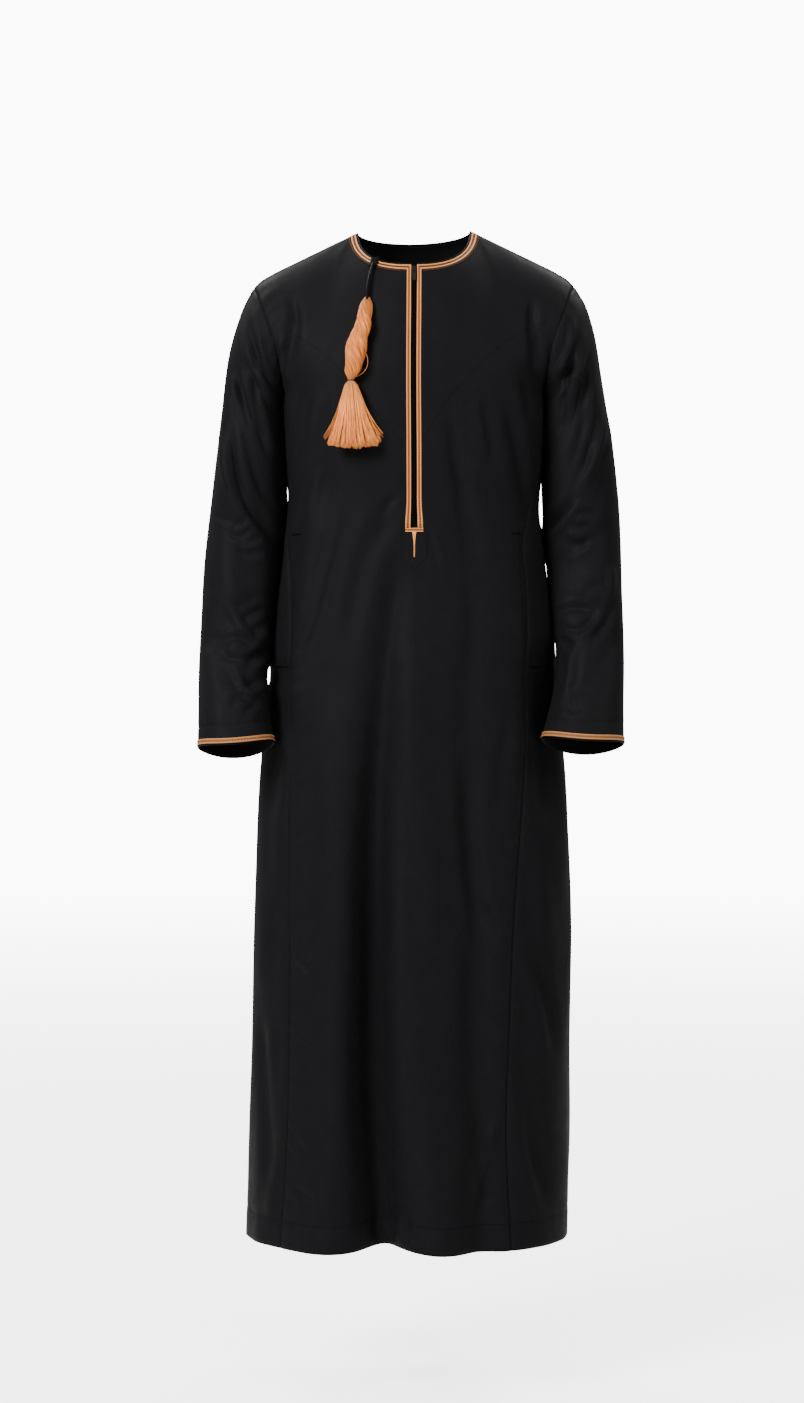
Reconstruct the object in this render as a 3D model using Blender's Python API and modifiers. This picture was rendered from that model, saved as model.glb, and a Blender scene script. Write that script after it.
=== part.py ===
"""Long black robe (thobe) with a round neck, gold braid, a chest zip and a tassel, in its worn form.

Everything is in metres with +Z up. The origin is where the wearer's shoulders hold the robe: on the
middle line, level with the sides of the neck. The front faces -Y, and "right" is the wearer's right, -X.
A "drop" is a depth below the origin, as a tailor measures down from the neck. "Tape" is a distance
measured round the body from the middle of the front, to the wearer's left (+X) when it is positive.
"""
import math

import bmesh
import bpy
import numpy as np
from mathutils import Matrix, Vector

# Cloth, trims and the spaces between them
CLOTH = 0.0012
BRAID = 0.0010
GAP = 0.0003
SEAM_HALF = 0.00015
PANEL_LIFT = CLOTH + GAP

# Body: level sections from under the arms to the hem, measured over the cloth
UNDERARM = 0.229
HEM = 1.384
BODY_COLUMNS = "drop half_width front back centre roundness"
BODY_SECTIONS = (
    (0.229, 0.1787, 0.127, 0.118, -0.0010, 2.50),
    (0.300, 0.1760, 0.128, 0.115, -0.0005, 2.45),
    (0.385, 0.1722, 0.125, 0.108, -0.0003, 2.40),
    (0.427, 0.1762, 0.125, 0.108, -0.0003, 2.35),
    (0.500, 0.1850, 0.128, 0.116, -0.0003, 2.35),
    (0.572, 0.1940, 0.133, 0.128, 0.0000, 2.35),
    (0.697, 0.2065, 0.140, 0.140, -0.0010, 2.30),
    (0.822, 0.2152, 0.146, 0.145, -0.0014, 2.25),
    (0.947, 0.2188, 0.151, 0.148, -0.0017, 2.25),
    (1.113, 0.2202, 0.159, 0.153, -0.0043, 2.20),
    (1.279, 0.2218, 0.168, 0.159, -0.0070, 2.20),
    (1.384, 0.2222, 0.175, 0.164, -0.0095, 2.20),
)

# Seams between the front or back and the side panels: distance from the middle line, seen from the front
SEAM_COLUMNS = "drop front_right front_left back"
SEAMS = (
    (0.229, 0.1775, 0.1765, 0.1770),
    (0.300, 0.1735, 0.1680, 0.1650),
    (0.385, 0.1695, 0.1560, 0.1560),
    (0.438, 0.1700, 0.1445, 0.1520),
    (0.498, 0.1670, 0.1485, 0.1520),
    (0.575, 0.1640, 0.1500, 0.1530),
    (0.690, 0.1690, 0.1520, 0.1550),
    (0.801, 0.1680, 0.1437, 0.1550),
    (0.917, 0.1670, 0.1343, 0.1530),
    (1.070, 0.1665, 0.1270, 0.1500),
    (1.236, 0.1690, 0.1226, 0.1460),
    (1.384, 0.1770, 0.1290, 0.1420),
)
POCKET_TOP = 0.417
POCKET_BOTTOM = 0.603
POCKET_GAPE = 0.0024

# Folds: start drop, end drop, tape place at the start, middle and end, how far they stand out (+) or in (-)
# at the start and end, and how wide they are at the start and end
FRONT_FOLDS = (
    (0.440, 1.600, -0.018, -0.058, -0.038, -0.007, -0.050, 0.016, 0.034),
    (0.620, 1.600, -0.110, -0.105, -0.112, 0.003, 0.014, 0.030, 0.046),
    (0.560, 1.600, -0.004, 0.020, 0.045, 0.004, 0.012, 0.020, 0.034),
    (0.560, 1.500, 0.070, 0.084, 0.100, -0.005, -0.014, 0.018, 0.028),
    (0.230, 0.430, -0.110, -0.118, -0.126, -0.004, -0.004, 0.012, 0.016),
    (0.330, 0.700, -0.136, -0.155, -0.176, 0.005, 0.005, 0.014, 0.018),
    (0.240, 0.620, 0.046, 0.068, 0.084, -0.004, -0.006, 0.012, 0.016),
    (0.225, 0.340, 0.088, 0.100, 0.112, -0.004, -0.003, 0.011, 0.012),
    (0.225, 0.420, 0.126, 0.150, 0.170, -0.005, -0.003, 0.012, 0.013),
    (0.100, 0.220, -0.176, -0.190, -0.200, -0.005, -0.004, 0.012, 0.014),
    (0.100, 0.220, 0.176, 0.190, 0.200, -0.005, -0.004, 0.012, 0.014),
    (0.960, 1.090, 0.170, 0.190, 0.215, -0.005, -0.004, 0.012, 0.014),
    (1.070, 1.330, 0.142, 0.170, 0.205, -0.007, -0.006, 0.014, 0.018),
    (1.060, 1.330, -0.235, -0.222, -0.200, -0.006, -0.006, 0.013, 0.016),
    (0.560, 0.840, -0.222, -0.215, -0.222, -0.010, -0.006, 0.034, 0.030),
    (0.560, 0.840, 0.205, 0.196, 0.205, -0.016, -0.008, 0.036, 0.030),
)
BACK_FOLDS = (
    (0.420, 1.600, 0.020, 0.052, 0.046, -0.006, -0.036, 0.016, 0.032),
    (0.560, 1.600, -0.070, -0.088, -0.094, -0.004, -0.022, 0.018, 0.028),
    (0.560, 1.600, -0.016, -0.026, -0.030, 0.003, 0.010, 0.020, 0.030),
    (0.620, 1.600, 0.110, 0.126, 0.134, 0.003, 0.010, 0.024, 0.034),
    (0.235, 0.460, 0.110, 0.086, 0.070, -0.005, -0.004, 0.012, 0.015),
    (0.235, 0.470, -0.120, -0.092, -0.066, -0.005, -0.004, 0.012, 0.015),
    (0.360, 0.560, -0.140, -0.120, -0.112, 0.004, 0.004, 0.014, 0.018),
    (1.030, 1.330, -0.150, -0.174, -0.200, -0.006, -0.006, 0.013, 0.017),
)
FOLD_FADE = 0.07
HEM_LIFT = 0.007
HEM_LIFT_TAPE = -0.024
HEM_LIFT_SPREAD = 0.042

# Neck and shoulders
NECK_HALF_WIDTH = 0.0785
NECK_FRONT_Y = -0.080
NECK_BACK_Y = 0.069
NECK_SIDE_DROP = 0.003
NECK_FRONT_DROP = 0.058
NECK_BACK_DROP = 0.008
NECK_DIP = 1.3
SHOULDER_COLUMNS = "share x drop"
SHOULDER_LINE = (
    (0.0, 0.0785, 0.0030),
    (0.2, 0.1070, 0.0165),
    (0.4, 0.1370, 0.0310),
    (0.6, 0.1670, 0.0455),
    (0.8, 0.1960, 0.0600),
    (0.92, 0.2130, 0.0705),
    (1.0, 0.2210, 0.0790),
)
SHOULDER_LIFT_LEFT = 0.0025

# Armhole, from under the arm up to the shoulder point
ARMHOLE_COLUMNS = "share x front_y back_y drop"
ARMHOLE = (
    (0.00, 0.1780, 0.000, 0.000, 0.2310),
    (0.10, 0.1772, -0.021, 0.021, 0.2290),
    (0.28, 0.1800, -0.046, 0.040, 0.2080),
    (0.50, 0.1885, -0.062, 0.050, 0.1690),
    (0.75, 0.2045, -0.050, 0.042, 0.1200),
    (0.90, 0.2155, -0.024, 0.023, 0.0900),
    (1.00, 0.2210, 0.000, 0.000, 0.0790),
)
PANEL_SHARE = 0.10
CHEST_RISE = 0.078

# Sleeves: rings from the armhole to the wrist, outer and inner edge seen from the front
SLEEVE_COLUMNS = "outer_x outer_drop inner_x inner_drop centre_y half_depth lean"
SLEEVE_RIGHT = (
    (0.2214, 0.079, 0.1808, 0.232, -0.001, 0.056, 0.000),
    (0.2363, 0.108, 0.1836, 0.244, 0.000, 0.060, 0.000),
    (0.2488, 0.150, 0.1842, 0.260, 0.001, 0.063, 0.000),
    (0.2580, 0.198, 0.1822, 0.280, 0.002, 0.065, 0.000),
    (0.2650, 0.250, 0.1812, 0.304, 0.003, 0.067, 0.000),
    (0.2715, 0.305, 0.1792, 0.333, 0.004, 0.068, 0.000),
    (0.2790, 0.365, 0.1782, 0.372, 0.004, 0.067, 0.000),
    (0.2850, 0.420, 0.1812, 0.420, 0.002, 0.065, 0.002),
    (0.2893, 0.470, 0.1862, 0.468, -0.003, 0.063, 0.004),
    (0.2920, 0.520, 0.1918, 0.517, -0.012, 0.060, 0.006),
    (0.2935, 0.572, 0.1985, 0.570, -0.025, 0.057, 0.008),
    (0.2935, 0.622, 0.2035, 0.618, -0.043, 0.054, 0.009),
    (0.2930, 0.668, 0.1990, 0.663, -0.062, 0.052, 0.010),
    (0.2925, 0.713, 0.1905, 0.706, -0.080, 0.051, 0.010),
)
SLEEVE_LEFT = (
    (0.2214, 0.077, 0.1808, 0.232, -0.001, 0.056, 0.000),
    (0.2370, 0.106, 0.1836, 0.244, 0.000, 0.060, 0.000),
    (0.2500, 0.148, 0.1842, 0.260, 0.001, 0.063, 0.000),
    (0.2588, 0.197, 0.1822, 0.280, 0.002, 0.065, 0.000),
    (0.2671, 0.250, 0.1816, 0.304, 0.003, 0.067, 0.000),
    (0.2752, 0.305, 0.1806, 0.333, 0.003, 0.068, 0.000),
    (0.2812, 0.365, 0.1802, 0.372, 0.002, 0.066, 0.000),
    (0.2842, 0.420, 0.1824, 0.420, -0.002, 0.064, 0.002),
    (0.2865, 0.470, 0.1865, 0.468, -0.009, 0.061, 0.004),
    (0.2872, 0.520, 0.1918, 0.517, -0.021, 0.058, 0.006),
    (0.2860, 0.572, 0.1962, 0.570, -0.039, 0.055, 0.008),
    (0.2844, 0.622, 0.1930, 0.618, -0.061, 0.053, 0.009),
    (0.2824, 0.665, 0.1845, 0.660, -0.083, 0.052, 0.010),
    (0.2817, 0.7075, 0.1722, 0.701, -0.104, 0.052, 0.010),
)
ARMHOLE_FADE = (1.0, 0.70, 0.42, 0.20, 0.06)
SLEEVE_SAG = 0.8

# Sleeve folds: start and end as shares of the sleeve, heading at each in degrees round the sleeve (0 front,
# 90 outside, 180 back, 270 inside), how far they stand out (+) or in (-), and how wide they are in degrees
SLEEVE_FOLDS_RIGHT = (
    (0.10, 0.62, 60.0, -55.0, -0.009, 20.0),
    (0.06, 0.40, 28.0, -30.0, -0.005, 14.0),
    (0.10, 0.50, 84.0, 20.0, 0.005, 18.0),
    (0.46, 0.70, 40.0, -35.0, -0.005, 24.0),
    (0.66, 0.80, -25.0, 45.0, -0.006, 26.0),
    (0.74, 0.90, 40.0, -30.0, -0.005, 24.0),
    (0.12, 0.55, 150.0, 235.0, -0.006, 20.0),
    (0.45, 0.75, 225.0, 140.0, -0.006, 24.0),
)
SLEEVE_FOLDS_LEFT = (
    (0.05, 0.34, 20.0, -40.0, -0.008, 15.0),
    (0.08, 0.45, 48.0, -20.0, -0.005, 14.0),
    (0.30, 0.62, 74.0, -45.0, 0.006, 17.0),
    (0.36, 0.66, 58.0, -60.0, -0.007, 17.0),
    (0.50, 0.68, 30.0, -40.0, -0.005, 22.0),
    (0.66, 0.80, -25.0, 40.0, -0.006, 26.0),
    (0.76, 0.92, 40.0, -30.0, -0.005, 24.0),
    (0.12, 0.58, 145.0, 230.0, -0.006, 20.0),
    (0.48, 0.78, 220.0, 140.0, -0.006, 24.0),
)

# Front slit, its zip and its braid
SLIT_HALF = 0.0038
SLIT_BOTTOM = 0.4165
BRAID_EDGE = 0.0100
BAR_TOP = 0.4180
BAR_BOTTOM = 0.4232
BAR_HALF = 0.0122
SPIKE_TOP = 0.4236
SPIKE_BOTTOM = 0.4570
SPIKE_HALF = 0.0029
SPIKE_TIP_HALF = 0.0006
SPIKE_BEND = 0.4380
SPIKE_BEND_HALF = 0.0018
TAPE_HALF = 0.0115
CHAIN_HALF = 0.0023
CHAIN_THICK = 0.0015
SLIDER_DROP = 0.0670
SLIDER_HEIGHT = 0.0110
SLIDER_HALF = 0.0033
SLIDER_FLANGE = 0.0007
SLIDER_FRONT = 0.0037
SLIDER_PLATE = 0.0016
LOOP_DROP = 0.0015
LOOP_RADIUS = 0.0015
LOOP_WIRE = 0.00045
LOOP_OUT = 0.0051
PULL_WIDTH = 0.0054
PULL_LENGTH = 0.0175
PULL_THICK = 0.0010
PULL_HOLE = 0.0020

# Neck and cuff trims
NECK_BRAID_IN = 0.0016
NECK_BRAID_OUT = 0.0086
BINDING_RADIUS = 0.0011
CUFF_BRAID_WIDTH = 0.0072
CUFF_BRAID_EDGE = 0.0014

# Tassel, hung from the neck on the wearer's right
TAB_TURN = -41.0
TAB_HALF = 0.0062
TAB_LENGTH = 0.0165
TAB_OVER = 0.0010
TAB_THICK = 0.0024
TAB_LIFT = 0.0035
STRAP_RADIUS = 0.0024
STRAP_LEAVE = 0.018
STRAP_ARRIVE = 0.014
HEAD_COLUMNS = "drop x y half_width turn"
TASSEL_HEAD = (
    (0.1055, -0.0634, -0.0990, 0.0036, 0.0),
    (0.1135, -0.0643, -0.1060, 0.0074, 25.0),
    (0.1202, -0.0650, -0.1102, 0.0093, 45.0),
    (0.1336, -0.0671, -0.1170, 0.0112, 80.0),
    (0.1430, -0.0686, -0.1205, 0.0122, 110.0),
    (0.1537, -0.0714, -0.1230, 0.0123, 140.0),
    (0.1617, -0.0749, -0.1242, 0.0119, 165.0),
    (0.1737, -0.0774, -0.1278, 0.0136, 195.0),
    (0.1871, -0.0789, -0.1300, 0.0142, 235.0),
    (0.2005, -0.0812, -0.1305, 0.0128, 275.0),
    (0.2099, -0.0831, -0.1305, 0.0088, 300.0),
    (0.2185, -0.0849, -0.1300, 0.0042, 320.0),
)
HEAD_SIDES = 14
HEAD_LOBES = 0.16
HEAD_DEPTH = 0.84
TIE_TOP = 0.2188
TIE_BOTTOM = 0.2228
TIE_RADIUS = 0.0048
CAP_TOP = 0.2231
CAP_BOTTOM = 0.2275
CAP_RADIUS = 0.0068
SKIRT_BOTTOM = 0.3115
SKIRT_BEND = 0.45
SKIRT_MIDDLE = (0.0175, 0.0105)
SKIRT_FOOT = (0.0325, 0.0145)
LOCK_GROWTH = 1.3
SKIRT_SHIFT = (0.0030, -0.0065)
SKIRT_RINGS = 4
SKIRT_SIDES = 18
STRAND_SHRINK = 0.00022

TURNS = np.linspace(-math.pi, math.pi, 721)

for leftover in list(bpy.data.objects):
    bpy.data.objects.remove(leftover, do_unlink=True)
parts = bpy.data.collections.new("thobe")
cutters = bpy.data.collections.new("cutters")
bpy.context.scene.collection.children.link(parts)
bpy.context.scene.collection.children.link(cutters)


def read_column(names, table, wanted):
    """One named column of a table, as an array."""
    place = names.split().index(wanted)
    return np.array([row[place] for row in table])


def curve_through(keys, values, at):
    """Smooth cubic curve through the values at the keys, with slopes taken from the neighbours."""
    keys = np.asarray(keys, float)
    values = np.asarray(values, float)
    at = np.clip(np.asarray(at, float), keys[0], keys[-1])
    slopes = np.gradient(values, keys, axis=0)
    low = np.clip(np.searchsorted(keys, at, side="right") - 1, 0, len(keys) - 2)
    step = keys[low + 1] - keys[low]
    t = (at - keys[low]) / step
    if values.ndim == 2:
        t = t[..., None]
        step = step[..., None]
    start = (1 + 2 * t) * (1 - t) ** 2 * values[low] + t * (1 - t) ** 2 * step * slopes[low]
    end = t * t * (3 - 2 * t) * values[low + 1] + t * t * (t - 1) * step * slopes[low + 1]
    return start + end


def from_table(names, table, key, wanted, at):
    """A table's column read smoothly at a value of its key column."""
    return curve_through(read_column(names, table, key), read_column(names, table, wanted), at)


def soft_step(value):
    """Rises smoothly from 0 to 1 while the value goes from 0 to 1."""
    value = np.clip(value, 0.0, 1.0)
    return value * value * (3 - 2 * value)


def material(name, color, roughness, metallic=0.0):
    """A Principled BSDF material."""
    made = bpy.data.materials.new(name)
    made.use_nodes = True
    shader = made.node_tree.nodes["Principled BSDF"]
    shader.inputs["Base Color"].default_value = (*color, 1.0)
    shader.inputs["Roughness"].default_value = roughness
    shader.inputs["Metallic"].default_value = metallic
    return made


BLACK_CLOTH = material("black_cloth", (0.012, 0.012, 0.014), 0.55)
BLACK_BRAID = material("black_binding", (0.010, 0.010, 0.011), 0.6)
GOLD_BRAID = material("gold_braid", (0.62, 0.38, 0.17), 0.45)
SILK = material("tassel_silk", (0.70, 0.36, 0.15), 0.4)
ZIP_BLACK = material("zip_black", (0.015, 0.015, 0.015), 0.4)
ZIP_METAL = material("zip_black_metal", (0.03, 0.03, 0.032), 0.35, 1.0)


def add_object(name, mesh, finish, collection=parts):
    """Puts a mesh in the scene as one named piece."""
    made = bpy.data.objects.new(name, mesh)
    mesh.materials.append(finish)
    mesh.polygons.foreach_set("use_smooth", [True] * len(mesh.polygons))
    collection.objects.link(made)
    return made


def wall(name, grid, finish, thick=CLOTH, round_it=False, holes=None):
    """A cloth wall: a grid of points on its inner side, thickened outwards by Solidify."""
    rows, columns = grid.shape[:2]
    wraps = columns if round_it else columns - 1
    faces = []
    for i in range(rows - 1):
        for j in range(wraps):
            if holes is not None and holes(i, j):
                continue
            after = (j + 1) % columns
            faces.append((i * columns + j, (i + 1) * columns + j,
                          (i + 1) * columns + after, i * columns + after))
    mesh = bpy.data.meshes.new(name)
    mesh.from_pydata(grid.reshape(-1, 3).tolist(), [], faces)
    mesh.validate()
    made = add_object(name, mesh, finish)
    thicken = made.modifiers.new("thickness", "SOLIDIFY")
    thicken.thickness = thick
    thicken.offset = 1.0
    thicken.use_even_offset = False
    return made


def grid_normals(grid, round_it=False):
    """Outward directions at the points of a grid whose rows go down and columns go round."""
    down = np.gradient(grid, axis=0)
    if round_it:
        across = (np.roll(grid, -1, axis=1) - np.roll(grid, 1, axis=1)) / 2
    else:
        across = np.gradient(grid, axis=1)
    normal = np.cross(down, across)
    return normal / np.linalg.norm(normal, axis=2, keepdims=True)


def section(drop):
    """Level line round the body's inner side: tape distance, place and outward direction."""
    width, front, back, centre, roundness = (
        from_table(BODY_COLUMNS, BODY_SECTIONS, "drop", name, drop)
        for name in ("half_width", "front", "back", "centre", "roundness"))
    sine, cosine = np.sin(TURNS), np.cos(TURNS)
    x = centre + (width - CLOTH) * np.sign(sine) * np.abs(sine) ** (2 / roundness)
    depth = np.where(cosine > 0, front, back) - CLOTH
    y = -depth * np.sign(cosine) * np.abs(cosine) ** (2 / roundness)
    tape = np.concatenate(([0.0], np.cumsum(np.hypot(np.diff(x), np.diff(y)))))
    tape -= np.interp(0.0, TURNS, tape)
    along_x, along_y = np.gradient(x, tape), np.gradient(y, tape)
    size = np.hypot(along_x, along_y)
    return tape, x, y, along_y / size, -along_x / size


def one_table_folds(table, place, drop):
    """Sum of a table's folds at tape places on one level: bell-shaped across, fading at their ends."""
    total = np.zeros_like(place)
    for start, end, tape_a, tape_b, tape_c, depth_a, depth_b, spread_a, spread_b in table:
        if not start < drop < end:
            continue
        run = (drop - start) / (min(end, HEM) - start)
        centre = (tape_a * (1 - run) * (1 - 2 * run) + 4 * tape_b * run * (1 - run)
                  + tape_c * run * (2 * run - 1))
        fade = min(FOLD_FADE, (min(end, HEM) - start) / 2.5)
        strength = soft_step((drop - start) / fade) * soft_step((end - drop) / fade)
        depth = depth_a + (depth_b - depth_a) * run
        spread = spread_a + (spread_b - spread_a) * run
        total = total + strength * depth * np.exp(-((place - centre) / spread) ** 2)
    return total


def fold_push(tape_place, drop, half_right, half_left):
    """How far the folds push the cloth outwards; back folds are placed from the middle of the back."""
    back_place = np.where(tape_place >= 0, half_left - tape_place, -half_right - tape_place)
    return one_table_folds(FRONT_FOLDS, tape_place, drop) + one_table_folds(BACK_FOLDS, back_place, drop)


def body_row(tape_place, drop):
    """Points of one level of the body at the given tape places, folds included."""
    tape, x, y, out_x, out_y = section(drop)
    push = fold_push(tape_place, drop, -tape[0], tape[-1])
    lift = HEM_LIFT * np.exp(-((tape_place - HEM_LIFT_TAPE) / HEM_LIFT_SPREAD) ** 2)
    lift = lift * soft_step((drop - HEM + 0.12) / 0.12)
    px = np.interp(tape_place, tape, x) + push * np.interp(tape_place, tape, out_x)
    py = np.interp(tape_place, tape, y) + push * np.interp(tape_place, tape, out_y)
    return np.column_stack((px, py, lift - drop))


def seam_tape(drop, which, side):
    """Tape place of a seam: the front seams from the front half, the back seams from the back half."""
    tape, x, y, _, _ = section(drop)
    wanted = side * from_table(SEAM_COLUMNS, SEAMS, "drop", which, drop)
    wanted = np.clip(wanted, x.min() + 0.0002, x.max() - 0.0002)
    half = (y <= 0) if which != "back" else (y >= 0)
    half = half & ((x > 0) if side > 0 else (x < 0))
    order = np.argsort(x[half])
    return float(np.interp(wanted, x[half][order], tape[half][order]))


# Columns of the front and back: angles round the neck, then shares along the shoulder
NECK_TURNS_FRONT = (0.0, math.degrees(math.asin(SLIT_HALF / NECK_HALF_WIDTH)),
                    math.degrees(math.asin(BRAID_EDGE / NECK_HALF_WIDTH)), 22.0, 38.0, 55.0, 72.0, 90.0)
NECK_TURNS_BACK = (0.0, 24.0, 48.0, 70.0, 90.0)
SHOULDER_SHARES = (0.18, 0.40, 0.62, 0.83, 1.0)
LOWER_DROPS = (0.229, 0.258, 0.292, 0.330, 0.372, SLIT_BOTTOM, 0.424, 0.460, 0.505, 0.555, 0.605, 0.655,
               0.710, 0.770, 0.830, 0.890, 0.950, 1.010, 1.070, 1.130, 1.190, 1.245, 1.295, 1.343, HEM)
COLUMN_SHARES = np.array((1.0, 0.946, 0.838, 0.700, 0.560, 0.420, 0.280, 0.140, 0.0))


def neck_point(turn_degrees, side, front=True):
    """Place on the neck edge and the direction that leads away from the neck along the cloth there."""
    turn = math.radians(turn_degrees)
    dip = 1 - (1 - math.cos(turn)) ** NECK_DIP
    end_drop, end_y = (NECK_FRONT_DROP, NECK_FRONT_Y) if front else (NECK_BACK_DROP, NECK_BACK_Y)
    drop = NECK_SIDE_DROP + (end_drop - NECK_SIDE_DROP) * dip
    lift = SHOULDER_LIFT_LEFT * math.sin(turn) if side > 0 else 0.0
    return np.array((side * NECK_HALF_WIDTH * math.sin(turn), end_y * math.cos(turn), lift - drop))


def shoulder_point(share, side):
    """Place on the shoulder line, from the neck (0) to the shoulder point (1)."""
    x = float(from_table(SHOULDER_COLUMNS, SHOULDER_LINE, "share", "x", share))
    drop = float(from_table(SHOULDER_COLUMNS, SHOULDER_LINE, "share", "drop", share))
    lift = SHOULDER_LIFT_LEFT if side > 0 else 0.0
    return np.array((side * x, 0.0, lift - drop))


def armhole_point(share, side, front=True):
    """Place on the armhole edge of the front or the back, shares from under the arm up to the shoulder."""
    x = from_table(ARMHOLE_COLUMNS, ARMHOLE, "share", "x", share)
    y = from_table(ARMHOLE_COLUMNS, ARMHOLE, "share", "front_y" if front else "back_y", share)
    drop = from_table(ARMHOLE_COLUMNS, ARMHOLE, "share", "drop", share)
    lift = (SHOULDER_LIFT_LEFT if side > 0 else 0.0) * share
    return np.stack((side * x, y, lift - drop), axis=-1)


def heading(turn_degrees, steep_degrees, side, front):
    """Unit direction on the cloth: turned from straight forward (or back), and steep downwards."""
    turn, steep = math.radians(turn_degrees), math.radians(steep_degrees)
    forward = -1.0 if front else 1.0
    return np.array((side * math.sin(turn) * math.cos(steep), forward * math.cos(turn) * math.cos(steep),
                     -math.sin(steep)))


def panel_columns(front):
    """The columns of one half: top place, and share of the half panel's width at the underarm and below."""
    turns = NECK_TURNS_FRONT if front else NECK_TURNS_BACK
    columns = []
    for index, turn in enumerate(turns):
        columns.append(("neck", turn, index))
    for index, share in enumerate(SHOULDER_SHARES):
        columns.append(("shoulder", share, len(turns) + index))
    return columns


def tape_places(front, edge_tape):
    """Tape distances of one half's columns from the panel's middle, given its seam's distance."""
    if front:
        first = (0.0, SLIT_HALF, BRAID_EDGE)
    else:
        first = (0.0,)
    count = len(panel_columns(front)) - len(first)
    rest = [first[-1] + (edge_tape - first[-1]) * (k + 1) / count for k in range(count)]
    return np.array(list(first) + rest)


def cubic_arc(start, start_handle, end_handle, end, count):
    """Points along a cubic arc between two places with two handles."""
    t = np.linspace(0.0, 1.0, count)[:, None]
    return ((1 - t) ** 3 * start + 3 * (1 - t) ** 2 * t * start_handle + 3 * (1 - t) * t ** 2 * end_handle
            + t ** 3 * end)


def upper_column(kind, value, side, front, foot):
    """Fine points of one column from under the arm up to the neck or shoulder edge, as a cubic arc."""
    if kind == "neck":
        share = value / 90.0
        top = neck_point(value, side, front)
        steep = (66.0 if front else 42.0) * (1 - share) + 26.0 * share
        direction = heading(52.0 * share, steep, side, front)
        reach = 0.050 if front else 0.046
    else:
        top = shoulder_point(value, side)
        direction = heading(52.0 * (1 - value) ** 2 + 4.0, 26.0 - 18.0 * value, side, front)
        reach = (0.050 if front else 0.062) + 0.010 * value
    top = top + np.array((0.0, -SEAM_HALF if front else SEAM_HALF, 0.0)) * (kind == "shoulder" or value == 90.0)
    return cubic_arc(foot, foot + np.array((0.0, 0.0, CHEST_RISE)), top + direction * reach, top, 61)


def by_length(points, wanted):
    """Points at the given shares of a polyline's length."""
    run = np.concatenate(([0.0], np.cumsum(np.linalg.norm(np.diff(points, axis=0), axis=1))))
    run /= run[-1]
    return np.stack([np.interp(wanted, run, points[:, k]) for k in range(3)], axis=1)


def upper_half(front, side, feet):
    """The half panel above the underarm: rows from the top edge down, columns from the middle outwards."""
    columns = panel_columns(front)
    last = len(columns) - 1
    shares = COLUMN_SHARES
    grid = np.zeros((len(shares), len(columns), 3))
    edge_shares = PANEL_SHARE + (1 - PANEL_SHARE) * shares
    for kind, value, index in columns:
        arc = upper_column(kind, value, side, front, feet[index])
        grid[:, index] = by_length(arc, shares)
    edge = armhole_point(edge_shares, side, front)
    edge = edge + (feet[last] - edge[-1]) * (1 - shares)[:, None] ** 4
    miss = edge - grid[:, last]
    neck_count = len(columns) - len(SHOULDER_SHARES)
    for index in range(neck_count, len(columns)):
        weight = ((index - neck_count + 1) / len(SHOULDER_SHARES)) ** 1.7
        grid[:, index] += miss * weight
    return grid, shares


def push_upper(grid, shares, places, side, front):
    """Adds the folds above the underarm, fading towards every edge of the panel."""
    tape, _, _, out_x, out_y = section(UNDERARM)
    sign_place = side * places if front else np.where(side > 0, tape[-1] - places, tape[0] + places)
    fade = (1 - (np.arange(len(places)) / (len(places) - 1)) ** 10)
    for row in range(grid.shape[0]):
        for column in range(grid.shape[1]):
            drop = -grid[row, column, 2]
            push = fold_push(np.array([sign_place[column]]), drop, -tape[0], tape[-1])[0]
            push *= fade[column] * (1 - shares[row] ** 6)
            grid[row, column, 0] += push * np.interp(sign_place[column], tape, out_x)
            grid[row, column, 1] += push * np.interp(sign_place[column], tape, out_y)
    return grid


def panel(front):
    """The whole front or back as one grid: rows from neck to hem, columns round the body anticlockwise."""
    halves = []
    for side in (-1, 1):
        lower = []
        for drop in LOWER_DROPS:
            tape = section(drop)[0]
            which = "back" if not front else ("front_right" if side < 0 else "front_left")
            seam = abs(seam_tape(drop, which, side))
            edge = (seam if front else (tape[-1] if side > 0 else -tape[0]) - seam) - SEAM_HALF
            places = tape_places(front, edge)
            if front:
                row_places = side * places
            else:
                row_places = tape[-1] - places if side > 0 else tape[0] + places
            row = body_row(row_places, drop)
            row[-1] += pocket_gape(drop, 1.0 if front else 0.0) * np.array((side * 0.7, -0.7, 0.0))
            lower.append(row)
            if drop == UNDERARM:
                upper, shares = upper_half(front, side, row)
                upper = push_upper(upper, shares, places, side, front)
        halves.append(np.concatenate((upper[:-1], np.array(lower))))
    right, left = halves
    if front:
        return np.concatenate((right[:, :0:-1], left), axis=1)
    return np.concatenate((left[:, :0:-1], right), axis=1)


def pocket_gape(drop, outward):
    """How far a pocket mouth stands open at one drop."""
    run = (drop - POCKET_TOP) / (POCKET_BOTTOM - POCKET_TOP)
    return outward * POCKET_GAPE * float(np.sin(np.pi * np.clip(run, 0, 1)))


def side_panel(side):
    """Side panel under one arm: rows from the underarm to the hem, columns round the body anticlockwise."""
    columns = 7
    rows = []
    for drop in LOWER_DROPS:
        front_tape = abs(seam_tape(drop, "front_right" if side < 0 else "front_left", side)) + SEAM_HALF
        back_tape = abs(seam_tape(drop, "back", side)) - SEAM_HALF
        places = np.linspace(front_tape, back_tape, columns)
        row = body_row(side * places, drop)
        row[0] -= pocket_gape(drop, 0.7) * np.array((side * 0.7, -0.7, 0.0))
        rows.append(row if side > 0 else row[::-1])
    return np.array(rows)


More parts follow.
